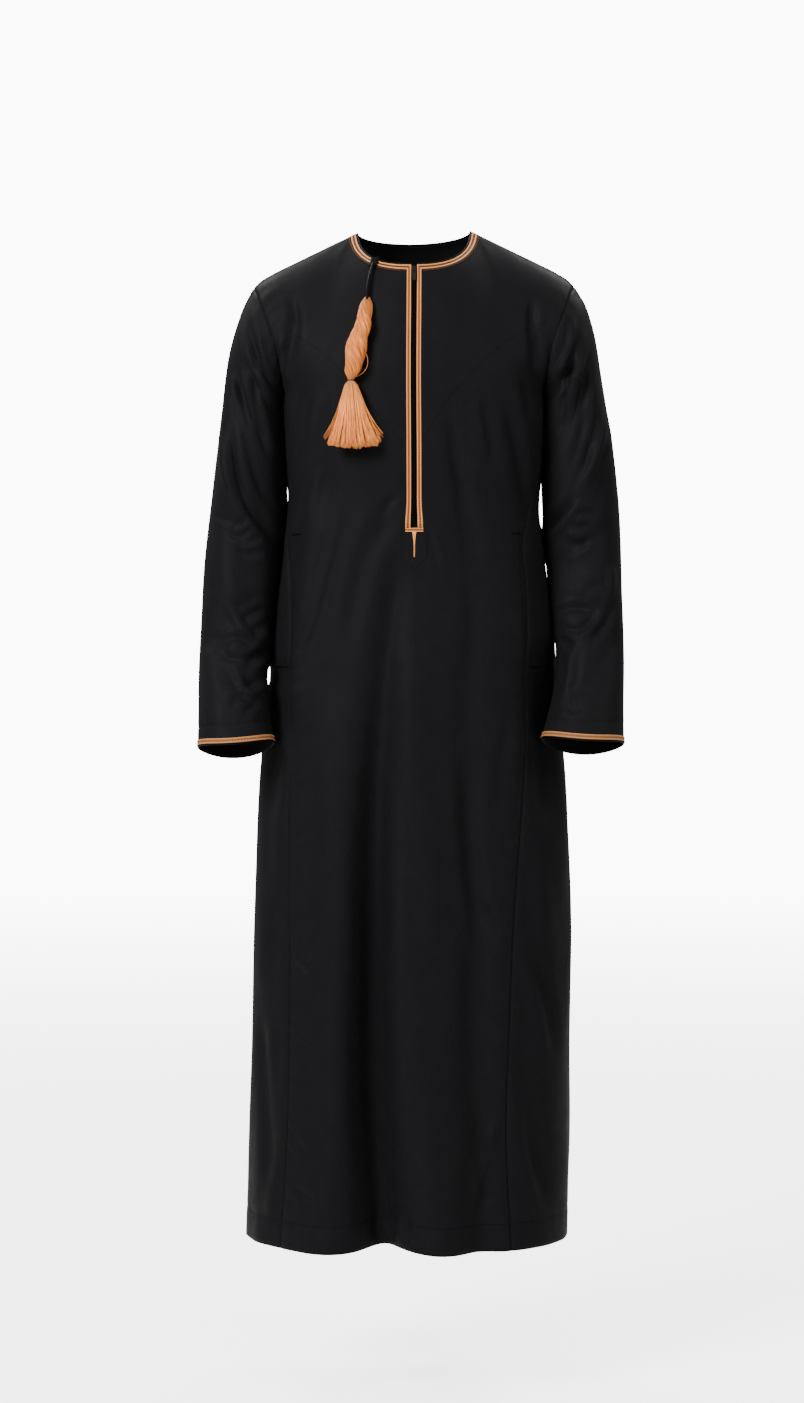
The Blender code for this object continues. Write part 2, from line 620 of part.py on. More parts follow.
def sleeve_fold_push(table, headings, share):
    """Folds of one sleeve ring; headings wrap round the sleeve."""
    total = np.zeros_like(headings)
    for start, end, heading_a, heading_b, depth, spread in table:
        if not start < share < end:
            continue
        run = (share - start) / (end - start)
        centre = heading_a + (heading_b - heading_a) * run
        away = (headings - centre + 180.0) % 360.0 - 180.0
        strength = soft_step(run / 0.3) * soft_step((1 - run) / 0.3)
        total = total + strength * depth * np.exp(-(away / spread) ** 2)
    return total


def sleeve(side, rows=25):
    """One sleeve: rings from the armhole to the wrist, each through its outer, inner, front and back point."""
    table = SLEEVE_RIGHT if side < 0 else SLEEVE_LEFT
    folds = SLEEVE_FOLDS_RIGHT if side < 0 else SLEEVE_FOLDS_LEFT
    keys = np.linspace(0.0, 1.0, len(table))
    values = {name: read_column(SLEEVE_COLUMNS, table, name) for name in SLEEVE_COLUMNS.split()}
    edge_shares = PANEL_SHARE + (1 - PANEL_SHARE) * COLUMN_SHARES
    share_round = np.concatenate(([0.0], edge_shares[::-1], edge_shares[1:]))
    front_half = np.arange(len(share_round)) <= len(edge_shares)
    headings = np.where(front_half, share_round * 180 - 90, 270 - share_round * 180)
    turn = np.radians(headings)
    edge = np.where(front_half[:, None], armhole_point(share_round, side, True),
                    armhole_point(share_round, side, False))
    edge[:, 0] += side * (0.0007 + 0.0034 * (1 - share_round) ** 2)
    rings = []
    for step in range(rows):
        share = step / (rows - 1)
        now = {name: float(curve_through(keys, values[name], share)) for name in values}
        outer = np.array((side * now["outer_x"], now["centre_y"], -now["outer_drop"]))
        inner = np.array((side * now["inner_x"], now["centre_y"], -now["inner_drop"]))
        sine, cosine = np.sin(turn)[:, None], np.cos(turn)[:, None]
        ring = (outer + inner) / 2 + (outer - inner) / 2 * sine
        ring[:, 1] -= now["half_depth"] * cosine[:, 0]
        ring[:, 2] += now["lean"] * (cosine - SLEEVE_SAG * cosine ** 2)[:, 0]
        if step == 0:
            miss = edge - ring
        fade = np.interp(share * (len(table) - 1), range(len(ARMHOLE_FADE) + 1), ARMHOLE_FADE + (0.0,))
        ring = ring + miss * fade
        middle = ring.mean(axis=0)
        away = ring - middle
        away /= np.linalg.norm(away, axis=1, keepdims=True)
        ring += away * sleeve_fold_push(folds, headings, share)[:, None]
        rings.append(ring if side > 0 else np.roll(ring[::-1], 1, axis=0))
    return np.array(rings)


front_grid = panel(front=True)
back_grid = panel(front=False)
middle = (front_grid.shape[1] - 1) // 2
slit_row = len(COLUMN_SHARES) - 1 + LOWER_DROPS.index(SLIT_BOTTOM)

wall("front_panel", front_grid, BLACK_CLOTH, holes=lambda i, j: i < slit_row and j in (middle - 1, middle))
wall("back_panel", back_grid, BLACK_CLOTH)
wall("side_panel_right", side_panel(-1), BLACK_CLOTH)
wall("side_panel_left", side_panel(1), BLACK_CLOTH)
sleeve_grids = {"right": sleeve(-1), "left": sleeve(1)}
for name, grid in sleeve_grids.items():
    wall("sleeve_" + name, grid, BLACK_CLOTH, round_it=True)


def cuff_braid(name, grid):
    """Braid round a sleeve's end, a strip lying on the last stretch of the sleeve."""
    normals = grid_normals(grid, round_it=True)
    last, before = grid[-1], grid[-2]
    step = np.linalg.norm(last - before, axis=1)[:, None]
    down = (last - before) / step
    low = last - down * CUFF_BRAID_EDGE
    high = low - down * CUFF_BRAID_WIDTH
    out = normals[-1] * (PANEL_LIFT + 0.0001)
    wall(name, np.stack((high + out, low + out)), GOLD_BRAID, BRAID, round_it=True)


for name, grid in sleeve_grids.items():
    cuff_braid("cuff_braid_" + name, grid)

# Front strips: the panel's own points beside the slit, moved out
front_normals = grid_normals(front_grid)


def centre_strip(name, places, rows, lift, thick, finish):
    """A strip up the middle of the front, its columns at the given distances from the middle line."""
    points = []
    for row in rows:
        across = front_grid[row, :, 0] - front_grid[row, middle, 0]
        line = slice(middle - 3, middle + 4)
        ends = []
        for x in places:
            point = [np.interp(x, across[line], front_grid[row, line, k]) for k in range(3)]
            out = [np.interp(x, across[line], front_normals[row, line, k]) for k in range(3)]
            ends.append(np.array(point) + np.array(out) * lift)
        points.append(ends)
    return wall(name, np.array(points), finish, thick)


slit_rows = range(0, slit_row + 1)
strip_in = SLIT_HALF + 0.0002
strip_out = BRAID_EDGE - 0.0002
centre_strip("placket_braid_right", (-strip_out, -strip_in), slit_rows, PANEL_LIFT, BRAID, GOLD_BRAID)
centre_strip("placket_braid_left", (strip_in, strip_out), slit_rows, PANEL_LIFT, BRAID, GOLD_BRAID)
centre_strip("zip_tape", (-TAPE_HALF, -SLIT_HALF, 0.0, SLIT_HALF, TAPE_HALF), range(1, slit_row + 2),
             -2 * GAP - BRAID, BRAID, ZIP_BLACK)
centre_strip("zip_chain", (-CHAIN_HALF, 0.0, CHAIN_HALF), range(1, slit_row), -GAP / 3, CHAIN_THICK, ZIP_BLACK)


def front_at(x, drop, lift):
    """A point on the front panel near the middle line at one drop, moved outwards."""
    heights = -front_grid[:, middle, 2]
    row = int(np.clip(np.searchsorted(heights, drop) - 1, 0, len(heights) - 2))
    share = (drop - heights[row]) / (heights[row + 1] - heights[row])
    points = []
    for line in (row, row + 1):
        across = front_grid[line, :, 0] - front_grid[line, middle, 0]
        near = slice(middle - 4, middle + 5)
        lifted = front_grid[line, near] + front_normals[line, near] * lift
        points.append(np.array([np.interp(x, across[near], lifted[:, k]) for k in range(3)]))
    return points[0] * (1 - share) + points[1] * share


def front_patch(name, outline_rows, finish):
    """A small flat trim on the front: rows of (drop, half width)."""
    grid = []
    for drop, half in outline_rows:
        grid.append([front_at(x, drop, PANEL_LIFT) for x in (-half, 0.0, half)])
    return wall(name, np.array(grid), finish, BRAID)


front_patch("placket_bar", ((BAR_TOP, BAR_HALF), (BAR_BOTTOM, BAR_HALF)), GOLD_BRAID)
front_patch("placket_spike", ((SPIKE_TOP, SPIKE_HALF), (SPIKE_BEND, SPIKE_BEND_HALF),
                              (SPIKE_BOTTOM, SPIKE_TIP_HALF)), GOLD_BRAID)

# Neck braid and binding: lines round the neck, from the slit round the back to the slit
back_normals = grid_normals(back_grid)
back_middle = (back_grid.shape[1] - 1) // 2
NECK_FRONT_COUNT = len(NECK_TURNS_FRONT) - 1
NECK_BACK_COUNT = len(NECK_TURNS_BACK) - 1


def neck_station(grid, normals, column):
    """Neck edge, direction square to it into the cloth and outward direction at one column of a panel."""
    edge = grid[0, column]
    along = grid[0, min(column + 1, grid.shape[1] - 1)] - grid[0, max(column - 1, 0)]
    along /= np.linalg.norm(along)
    fall = grid[1, column] - edge
    square = fall - along * np.dot(fall, along)
    out = normals[0, column] + normals[1, column]
    return edge, square / np.linalg.norm(square), out / np.linalg.norm(out)


def seam_station(side):
    """The same on the shoulder seam, where the lines go from front to back."""
    edge = shoulder_point(0.0, side)
    fall = shoulder_point(0.1, side) - edge
    fall /= np.linalg.norm(fall)
    return edge, fall, np.array((side * abs(fall[2]), 0.0, abs(fall[0])))


def corner_station(grid, normals, column):
    """The same at the corner between neck edge and shoulder seam, along the panel's own column."""
    edge = grid[0, column]
    fall = grid[1, column] - edge
    out = normals[0, column] + normals[1, column]
    return edge, fall / np.linalg.norm(fall), out / np.linalg.norm(out)


neck_stations = [neck_station(front_grid, front_normals, column)
                 for column in range(middle + 2, middle + NECK_FRONT_COUNT)]
neck_stations.append(corner_station(front_grid, front_normals, middle + NECK_FRONT_COUNT))
neck_stations.append(seam_station(1))
neck_stations.append(corner_station(back_grid, back_normals, back_middle - NECK_BACK_COUNT))
neck_stations += [neck_station(back_grid, back_normals, column)
                  for column in range(back_middle - NECK_BACK_COUNT + 1, back_middle + NECK_BACK_COUNT)]
neck_stations.append(corner_station(back_grid, back_normals, back_middle + NECK_BACK_COUNT))
neck_stations.append(seam_station(-1))
neck_stations.append(corner_station(front_grid, front_normals, middle - NECK_FRONT_COUNT))
neck_stations += [neck_station(front_grid, front_normals, column)
                  for column in range(middle - NECK_FRONT_COUNT + 1, middle - 1)]


def neck_line(stations, inset, lift):
    """A line round the neck at one distance from the edge, lifted off the cloth's inner side."""
    line = np.array([edge + square * inset + out * lift for edge, square, out in stations])
    line[0, 0] += GAP
    line[-1, 0] -= GAP
    return line


neck_lift = PANEL_LIFT + 0.0003
wall("neck_braid", np.stack((neck_line(neck_stations, NECK_BRAID_IN, neck_lift),
                             neck_line(neck_stations, NECK_BRAID_OUT, neck_lift))), GOLD_BRAID, BRAID)


def tube(name, points, radius, finish):
    """A round cord along a smooth line, as a bevelled curve with filled ends."""
    curve = bpy.data.curves.new(name, "CURVE")
    curve.dimensions = "3D"
    curve.bevel_depth = radius
    curve.bevel_resolution = 2
    curve.use_fill_caps = True
    spline = curve.splines.new("POLY")
    spline.points.add(len(points) - 1)
    for index, point in enumerate(points):
        spline.points[index].co = (*point, 1.0)
    made = bpy.data.objects.new(name, curve)
    made.data.materials.append(finish)
    parts.objects.link(made)
    weld = made.modifiers.new("weld", "WELD")
    weld.merge_threshold = 0.00002
    return made


corner_places = {NECK_FRONT_COUNT - 2, NECK_FRONT_COUNT, len(neck_stations) - NECK_FRONT_COUNT + 1,
                 len(neck_stations) - NECK_FRONT_COUNT - 1}
binding_stations = [station for place, station in enumerate(neck_stations) if place not in corner_places]
tube("neck_binding", neck_line(binding_stations, -BINDING_RADIUS - 2 * GAP, CLOTH / 2), BINDING_RADIUS,
     BLACK_BRAID)

# Zip slider and pull, set in the slope of the chest
slider_place = front_at(0.0, SLIDER_DROP, 0.0)
slider_below = front_at(0.0, SLIDER_DROP + 0.012, 0.0)
fall = slider_below - slider_place
fall /= np.linalg.norm(fall)
slope = math.atan2(fall[1], -fall[2])
slider_frame = Matrix.Translation(Vector(slider_place)) @ Matrix.Rotation(slope, 4, "X")


def settled(made, frame):
    """Gives a piece its place and turn."""
    made.matrix_world = frame
    return made


def channel_mesh():
    """The slider's body: a plate over the chain with a flange down each side, as one outline pulled along."""
    outer, flange = SLIDER_HALF, SLIDER_HALF - SLIDER_FLANGE
    front, inner, foot = -SLIDER_FRONT, -SLIDER_FRONT + SLIDER_PLATE, -0.0002
    outline = ((-outer, foot), (-outer, front), (outer, front), (outer, foot), (flange, foot), (flange, inner),
               (-flange, inner), (-flange, foot))
    mesh = bpy.data.meshes.new("zip_slider")
    bm = bmesh.new()
    face = bm.faces.new([bm.verts.new((x, y, -SLIDER_HEIGHT / 2)) for x, y in outline])
    pulled = bmesh.ops.extrude_face_region(bm, geom=[face])
    lifted = [item for item in pulled["geom"] if isinstance(item, bmesh.types.BMVert)]
    bmesh.ops.translate(bm, vec=(0.0, 0.0, SLIDER_HEIGHT), verts=lifted)
    bmesh.ops.recalc_face_normals(bm, faces=bm.faces)
    bm.to_mesh(mesh)
    bm.free()
    return mesh


slider = settled(add_object("zip_slider", channel_mesh(), ZIP_METAL), slider_frame)
bpy.ops.mesh.primitive_torus_add(major_segments=16, minor_segments=8, major_radius=LOOP_RADIUS,
                                 minor_radius=LOOP_WIRE)
loop = bpy.context.active_object
loop.name = "zip_loop"
for other in list(loop.users_collection):
    other.objects.unlink(loop)
cutters.objects.link(loop)
loop.hide_render = True
loop.display_type = "WIRE"
loop_turn = Matrix.Rotation(math.radians(90.0), 4, "Y")
loop.matrix_world = slider_frame @ Matrix.Translation((0.0, -LOOP_OUT, -LOOP_DROP)) @ loop_turn
join = slider.modifiers.new("loop", "BOOLEAN")
join.operation = "UNION"
join.object = loop

pull_frame = slider_frame @ Matrix.Translation((0.0, -LOOP_OUT, -LOOP_DROP))


def block(name, size, centre, finish, collection):
    """A box of the given size, its middle at a place in its own frame."""
    mesh = bpy.data.meshes.new(name)
    bm = bmesh.new()
    bmesh.ops.create_cube(bm, size=1.0)
    bmesh.ops.scale(bm, vec=size, verts=bm.verts)
    bmesh.ops.translate(bm, vec=centre, verts=bm.verts)
    bm.to_mesh(mesh)
    bm.free()
    return add_object(name, mesh, finish, collection)


pull = settled(block("zip_pull", (PULL_WIDTH, PULL_THICK, PULL_LENGTH),
                     (0.0, 0.0, PULL_THICK / 2 - PULL_LENGTH / 2), ZIP_METAL, parts), pull_frame)
rounding = pull.modifiers.new("rounding", "BEVEL")
rounding.width = 0.0003
rounding.segments = 1
hole = settled(block("zip_pull_hole", (PULL_HOLE, 0.004, 0.0026), (0.0, 0.0, -PULL_THICK / 2 - 0.0013),
                     ZIP_METAL, cutters), pull_frame)
hole.hide_render = True
hole.display_type = "WIRE"
cut = pull.modifiers.new("hole", "BOOLEAN")
cut.operation = "DIFFERENCE"
cut.object = hole

# Tassel: tab over the braid, strap, twisted head, tie and free threads
tab_edge = neck_point(-TAB_TURN, -1)
tab_column = middle - 4
tab_out = front_normals[0, tab_column] + front_normals[1, tab_column]
tab_out /= np.linalg.norm(tab_out)
tab_down = np.array((0.0, 0.0, -1.0)) + tab_out * tab_out[2]
tab_down /= np.linalg.norm(tab_down)
tab_side = np.cross(tab_out, tab_down)
tab_rows = (-TAB_OVER, TAB_LENGTH / 2 - TAB_OVER, TAB_LENGTH - TAB_OVER)
tab_grid = np.array([[tab_edge + tab_down * down + tab_side * across + tab_out * TAB_LIFT
                      for across in (-TAB_HALF, 0.0, TAB_HALF)] for down in tab_rows])
wall("tassel_tab", tab_grid, BLACK_BRAID, TAB_THICK)

strap_start = tab_edge + tab_down * (TAB_LENGTH - TAB_OVER + 2 * GAP) + tab_out * (TAB_LIFT + TAB_THICK / 2)
head_top = np.array((TASSEL_HEAD[0][1], TASSEL_HEAD[0][2], -TASSEL_HEAD[0][0]))
strap_end = head_top + np.array((0.0, 0.0, 2 * GAP))
strap_arrive = np.array((0.0, 0.10, 1.0))
strap_points = cubic_arc(strap_start, strap_start + tab_down * STRAP_LEAVE,
                         strap_end + strap_arrive * STRAP_ARRIVE, strap_end, 7)
tube("tassel_strap", strap_points, STRAP_RADIUS, BLACK_BRAID)


def tassel_head():
    """Twisted skein: rings with two soft lobes that turn on the way down."""
    rings = []
    turn_round = np.linspace(0.0, 2 * math.pi, HEAD_SIDES, endpoint=False)
    drops = read_column(HEAD_COLUMNS, TASSEL_HEAD, "drop")
    for drop in np.linspace(drops[0], drops[-1], 15):
        x, y, half, turn = (float(curve_through(drops, read_column(HEAD_COLUMNS, TASSEL_HEAD, name), drop))
                            for name in ("x", "y", "half_width", "turn"))
        lobe = 1 - HEAD_LOBES / 2 + HEAD_LOBES * np.cos(2 * (turn_round - math.radians(turn)))
        rings.append(np.column_stack((x + half * lobe * np.cos(turn_round),
                                      y + half * HEAD_DEPTH * lobe * np.sin(turn_round),
                                      np.full(HEAD_SIDES, -drop))))
    return rings


def closed_loft(name, rings, finish):
    """Rings from top to bottom joined by faces, with a fan at each end."""
    bm = bmesh.new()
    made = [[bm.verts.new(point) for point in ring] for ring in rings]
    count = len(made[0])
    for upper, lower in zip(made, made[1:]):
        for k in range(count):
            bm.faces.new((upper[k], lower[k], lower[(k + 1) % count], upper[(k + 1) % count]))
    bm.faces.new(made[0])
    bm.faces.new(made[-1][::-1])
    bmesh.ops.recalc_face_normals(bm, faces=bm.faces)
    mesh = bpy.data.meshes.new(name)
    bm.to_mesh(mesh)
    bm.free()
    return add_object(name, mesh, finish)


closed_loft("tassel_head", tassel_head(), SILK)
tie_x, tie_y = TASSEL_HEAD[-1][1], TASSEL_HEAD[-1][2]


def turned_rings(x, y, profile, sides):
    """Level rings of a turned piece from rows of (drop, radius)."""
    turn_round = np.linspace(0.0, 2 * math.pi, sides, endpoint=False)
    return [np.column_stack((x + radius * np.cos(turn_round), y + radius * np.sin(turn_round),
                             np.full(sides, -drop))) for drop, radius in profile]


tie_middle = (TIE_TOP + TIE_BOTTOM) / 2
closed_loft("tassel_tie", turned_rings(tie_x, tie_y, ((TIE_TOP, TIE_RADIUS - 0.001), (tie_middle, TIE_RADIUS),
                                                      (TIE_BOTTOM, TIE_RADIUS - 0.001)), 14), BLACK_BRAID)


def tassel_skirt():
    """Free threads in locks: each cell of the cap's underside is narrowed and drawn out into one lock."""
    bm = bmesh.new()
    sides = SKIRT_SIDES
    cells = []
    radii = [CAP_RADIUS * math.sqrt((k + 0.08) / (SKIRT_RINGS + 0.08)) for k in range(SKIRT_RINGS + 1)]
    turn_round = np.linspace(0.0, 2 * math.pi, sides, endpoint=False)
    rings = []
    for radius in radii:
        places = [(tie_x + radius * math.cos(turn), tie_y + radius * math.sin(turn), -CAP_BOTTOM)
                  for turn in turn_round]
        rings.append([bm.verts.new(place) for place in places])
    for inner, outer in zip(rings, rings[1:]):
        for k in range(sides):
            after = (k + 1) % sides
            cells.append(bm.faces.new((inner[k], inner[after], outer[after], outer[k])))
    bm.faces.new(rings[0])
    top = [bm.verts.new((tie_x + CAP_RADIUS * 0.6 * math.cos(turn), tie_y + CAP_RADIUS * 0.6 * math.sin(turn),
                         -CAP_TOP)) for turn in turn_round]
    for k in range(sides):
        after = (k + 1) % sides
        bm.faces.new((rings[-1][k], rings[-1][after], top[after], top[k]))
    bm.faces.new(top)
    bmesh.ops.recalc_face_normals(bm, faces=bm.faces)
    bmesh.ops.inset_individual(bm, faces=cells, thickness=STRAND_SHRINK / 2, depth=0.0)
    for step in (SKIRT_BEND, 1.0):
        drawn = bmesh.ops.extrude_discrete_faces(bm, faces=cells)
        cells = drawn["faces"]
        drop = CAP_BOTTOM + (SKIRT_BOTTOM - CAP_BOTTOM) * step
        for face in cells:
            move_lock(face, drop, step)
    mesh = bpy.data.meshes.new("tassel_skirt")
    bm.normal_update()
    bm.to_mesh(mesh)
    bm.free()
    return add_object("tassel_skirt", mesh, SILK)


def move_lock(face, drop, step):
    """Carries the end of one lock to its place in the flaring skirt and fattens it a little."""
    centre = face.calc_center_median()
    first = step < 1.0
    before = 0.0 if first else SKIRT_BEND
    spread_x = SKIRT_MIDDLE[0] / CAP_RADIUS if first else SKIRT_FOOT[0] / SKIRT_MIDDLE[0]
    spread_y = SKIRT_MIDDLE[1] / CAP_RADIUS if first else SKIRT_FOOT[1] / SKIRT_MIDDLE[1]
    target = Vector((tie_x + (centre.x - tie_x - SKIRT_SHIFT[0] * before) * spread_x + SKIRT_SHIFT[0] * step,
                     tie_y + (centre.y - tie_y - SKIRT_SHIFT[1] * before) * spread_y + SKIRT_SHIFT[1] * step,
                     -drop))
    for vert in face.verts:
        vert.co = target + (vert.co - centre) * LOCK_GROWTH


tassel_skirt()
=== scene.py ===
"""Looks of a long black robe (thobe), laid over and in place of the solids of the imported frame.

Metres, +Z up, the front faces -Y, and "right" is the wearer's right (-X). A drop is a depth below the
origin, which is where the wearer's shoulders hold the robe. Tape is a distance measured round the body
from the middle of the front, to the wearer's left when it is positive.
"""
import math

import bpy
import numpy as np
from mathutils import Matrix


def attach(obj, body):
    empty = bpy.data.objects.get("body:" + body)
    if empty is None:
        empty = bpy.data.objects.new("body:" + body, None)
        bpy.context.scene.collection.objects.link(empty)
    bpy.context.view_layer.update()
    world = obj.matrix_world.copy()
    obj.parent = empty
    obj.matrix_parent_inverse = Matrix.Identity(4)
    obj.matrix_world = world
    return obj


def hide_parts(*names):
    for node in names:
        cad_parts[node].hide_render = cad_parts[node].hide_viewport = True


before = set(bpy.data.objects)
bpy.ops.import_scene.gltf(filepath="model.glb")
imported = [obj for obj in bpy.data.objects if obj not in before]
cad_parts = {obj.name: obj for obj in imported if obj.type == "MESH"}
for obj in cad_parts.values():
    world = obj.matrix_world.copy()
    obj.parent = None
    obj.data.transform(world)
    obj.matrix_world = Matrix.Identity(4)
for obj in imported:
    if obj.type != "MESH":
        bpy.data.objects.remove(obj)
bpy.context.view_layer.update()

# The room: a pale floor where the wearer would stand, the even light of a white studio with two large
# soft lamps in front, and the camera level with the hips, 3.8 m off, as the robe was photographed.
FLOOR_DROP = 1.585


def wire(tree, kind, links=(), **settings):
    """Adds a node, sets its properties and plain socket values, and links other sockets into it."""
    made = tree.nodes.new(kind)
    for name, value in settings.items():
        setattr(made, name, value)
    for key, value in links:
        if isinstance(value, bpy.types.NodeSocket):
            tree.links.new(value, made.inputs[key])
        else:
            made.inputs[key].default_value = value
    return made


def reckon(tree, operation, *values):
    """The result of a Math node on sockets and plain values."""
    return wire(tree, "ShaderNodeMath", enumerate(values), operation=operation).outputs[0]


def ranged(tree, value, low, high, to_low, to_high, **settings):
    """The result of a Map Range node, which turns low to high into to_low to to_high."""
    values = enumerate((value, low, high, to_low, to_high))
    return wire(tree, "ShaderNodeMapRange", values, **settings).outputs[0]


def noise(tree, place, scale, detail=2.0):
    """The value of a Noise node at a place."""
    sockets = (("Vector", place), ("Scale", scale), ("Detail", detail))
    return wire(tree, "ShaderNodeTexNoise", sockets).outputs["Fac"]


def drawn_out(tree, uv, across, along):
    """Texture places multiplied by two numbers, so that a noise is drawn out along the cloth."""
    sockets = ((0, uv), (1, (across, along, 1.0)))
    return wire(tree, "ShaderNodeVectorMath", sockets, operation="MULTIPLY").outputs[0]


def read_uv(tree, layer):
    """The places of a UV layer, and their X, Y and Z."""
    uv = wire(tree, "ShaderNodeUVMap", uv_map=layer).outputs["UV"]
    return uv, wire(tree, "ShaderNodeSeparateXYZ", ((0, uv),)).outputs


def raise_relief(tree, shader, height, strength, distance):
    """Turns a height into the shader's normal through a Bump node."""
    relief = wire(tree, "ShaderNodeBump", (("Height", height), ("Strength", strength), ("Distance", distance)))
    tree.links.new(relief.outputs["Normal"], shader.inputs["Normal"])


def blank_finish(name, roughness, gloss):
    """A new node material with its plain roughness and specular level, its node tree and its shader."""
    made = bpy.data.materials.new(name)
    made.use_nodes = True
    shader = made.node_tree.nodes["Principled BSDF"]
    shader.inputs["Roughness"].default_value = roughness
    shader.inputs["Specular IOR Level"].default_value = gloss
    return made, made.node_tree, shader


studio = bpy.data.worlds.new("studio")
studio.use_nodes = True
backdrop_glow = studio.node_tree.nodes["Background"]
backdrop_glow.inputs["Color"].default_value = (0.97, 0.98, 1.0, 1.0)
seen = wire(studio.node_tree, "ShaderNodeLightPath").outputs["Is Camera Ray"]
backdrop_strength = ranged(studio.node_tree, seen, 0.0, 1.0, 0.32, 11.0)
studio.node_tree.links.new(backdrop_strength, backdrop_glow.inputs["Strength"])
bpy.context.scene.world = studio

paper, tree, shader = blank_finish("floor_paper", 0.9, 0.5)
shader.inputs["Base Color"].default_value = (0.85, 0.85, 0.86, 1.0)
shader.inputs["Emission Color"].default_value = (1.0, 1.0, 1.0, 1.0)
place = wire(tree, "ShaderNodeTexCoord").outputs["Object"]
away = wire(tree, "ShaderNodeVectorMath", ((0, place),), operation="LENGTH").outputs["Value"]
glow = ranged(tree, away, 1.0, 11.0, 2.6, 10.0, interpolation_type="SMOOTHSTEP")
seen = wire(tree, "ShaderNodeLightPath").outputs["Is Camera Ray"]
tree.links.new(reckon(tree, "MULTIPLY", glow, seen), shader.inputs["Emission Strength"])
floor_mesh = bpy.data.meshes.new("floor")
floor_turn = np.linspace(0, 2 * math.pi, 96, endpoint=False)
floor_rim = np.column_stack((14 * np.cos(floor_turn), 14 * np.sin(floor_turn), np.full(96, -FLOOR_DROP)))
floor_mesh.from_pydata(floor_rim.tolist(), [], [tuple(range(96))])
floor_mesh.materials.append(paper)
floor = bpy.data.objects.new("floor", floor_mesh)
bpy.context.collection.objects.link(floor)


def soft_lamp(name, place, aim, size, watts):
    """A square area lamp at a place, turned towards another place."""
    lamp = bpy.data.lights.new(name, "AREA")
    lamp.size = size
    lamp.energy = watts
    holder = bpy.data.objects.new(name, lamp)
    bpy.context.collection.objects.link(holder)
    reach = np.array(aim, float) - np.array(place, float)
    holder.location = place
    holder.rotation_euler = (math.acos(-reach[2] / np.linalg.norm(reach)), 0.0,
                             math.atan2(reach[0], -reach[1]) + math.pi)
    return holder


soft_lamp("lamp_left", (-2.4, -2.6, 1.5), (0.0, 0.0, -0.6), 1.6, 340)
soft_lamp("lamp_right", (2.6, -2.2, 1.2), (0.0, 0.0, -0.6), 1.6, 100)
soft_lamp("lamp_top", (-0.1, -1.6, 2.7), (0.0, 0.0, -0.4), 1.8, 46)
soft_lamp("lamp_back_left", (-1.9, 2.0, 2.5), (0.0, 0.0, -0.5), 1.4, 150)
soft_lamp("lamp_back_right", (1.9, 2.0, 2.5), (0.0, 0.0, -0.5), 1.4, 150)

camera_data = bpy.data.cameras.new("camera")
camera_data.lens = 18.0 / math.tan(math.radians(28.7 / 2))
camera = bpy.data.objects.new("camera", camera_data)
camera.location = (-0.0165, -3.8, -0.6507)
camera.rotation_euler = (math.radians(90.0), 0.0, 0.0)
bpy.context.collection.objects.link(camera)
bpy.context.scene.camera = camera

# Front: one panel from neck to hem, cut open down the middle of the chest for the zip. It hangs in its worn
# form: level sections under the arms, and above them arcs that run up to the neck and shoulder seams.
CLOTH = 0.0012  # from the cloth's inner side, which the grids follow, to the sections' outer line
UNDERARM = 0.229
HEM = 1.384
BODY_COLUMNS = "drop half_width front back centre roundness"
BODY_SECTIONS = (
    (0.229, 0.1787, 0.127, 0.118, -0.0010, 2.50),
    (0.300, 0.1760, 0.128, 0.115, -0.0005, 2.45),
    (0.385, 0.1722, 0.125, 0.108, -0.0003, 2.40),
    (0.427, 0.1762, 0.125, 0.108, -0.0003, 2.35),
    (0.500, 0.1850, 0.128, 0.116, -0.0003, 2.35),
    (0.572, 0.1940, 0.133, 0.128, 0.0000, 2.35),
    (0.697, 0.2065, 0.140, 0.140, -0.0010, 2.30),
    (0.822, 0.2152, 0.146, 0.145, -0.0014, 2.25),
    (0.947, 0.2188, 0.151, 0.148, -0.0017, 2.25),
    (1.113, 0.2202, 0.159, 0.153, -0.0043, 2.20),
    (1.279, 0.2218, 0.168, 0.159, -0.0070, 2.20),
    (1.384, 0.2222, 0.175, 0.164, -0.0095, 2.20),
)
SEAM_COLUMNS = "drop front_right front_left back"
SEAMS = (
    (0.229, 0.1775, 0.1765, 0.1770),
    (0.300, 0.1735, 0.1680, 0.1650),
    (0.385, 0.1695, 0.1560, 0.1560),
    (0.438, 0.1700, 0.1445, 0.1520),
    (0.498, 0.1670, 0.1485, 0.1520),
    (0.575, 0.1640, 0.1500, 0.1530),
    (0.690, 0.1690, 0.1520, 0.1550),
    (0.801, 0.1680, 0.1437, 0.1550),
    (0.917, 0.1670, 0.1343, 0.1530),
    (1.070, 0.1665, 0.1270, 0.1500),
    (1.236, 0.1690, 0.1226, 0.1460),
    (1.384, 0.1770, 0.1290, 0.1420),
)
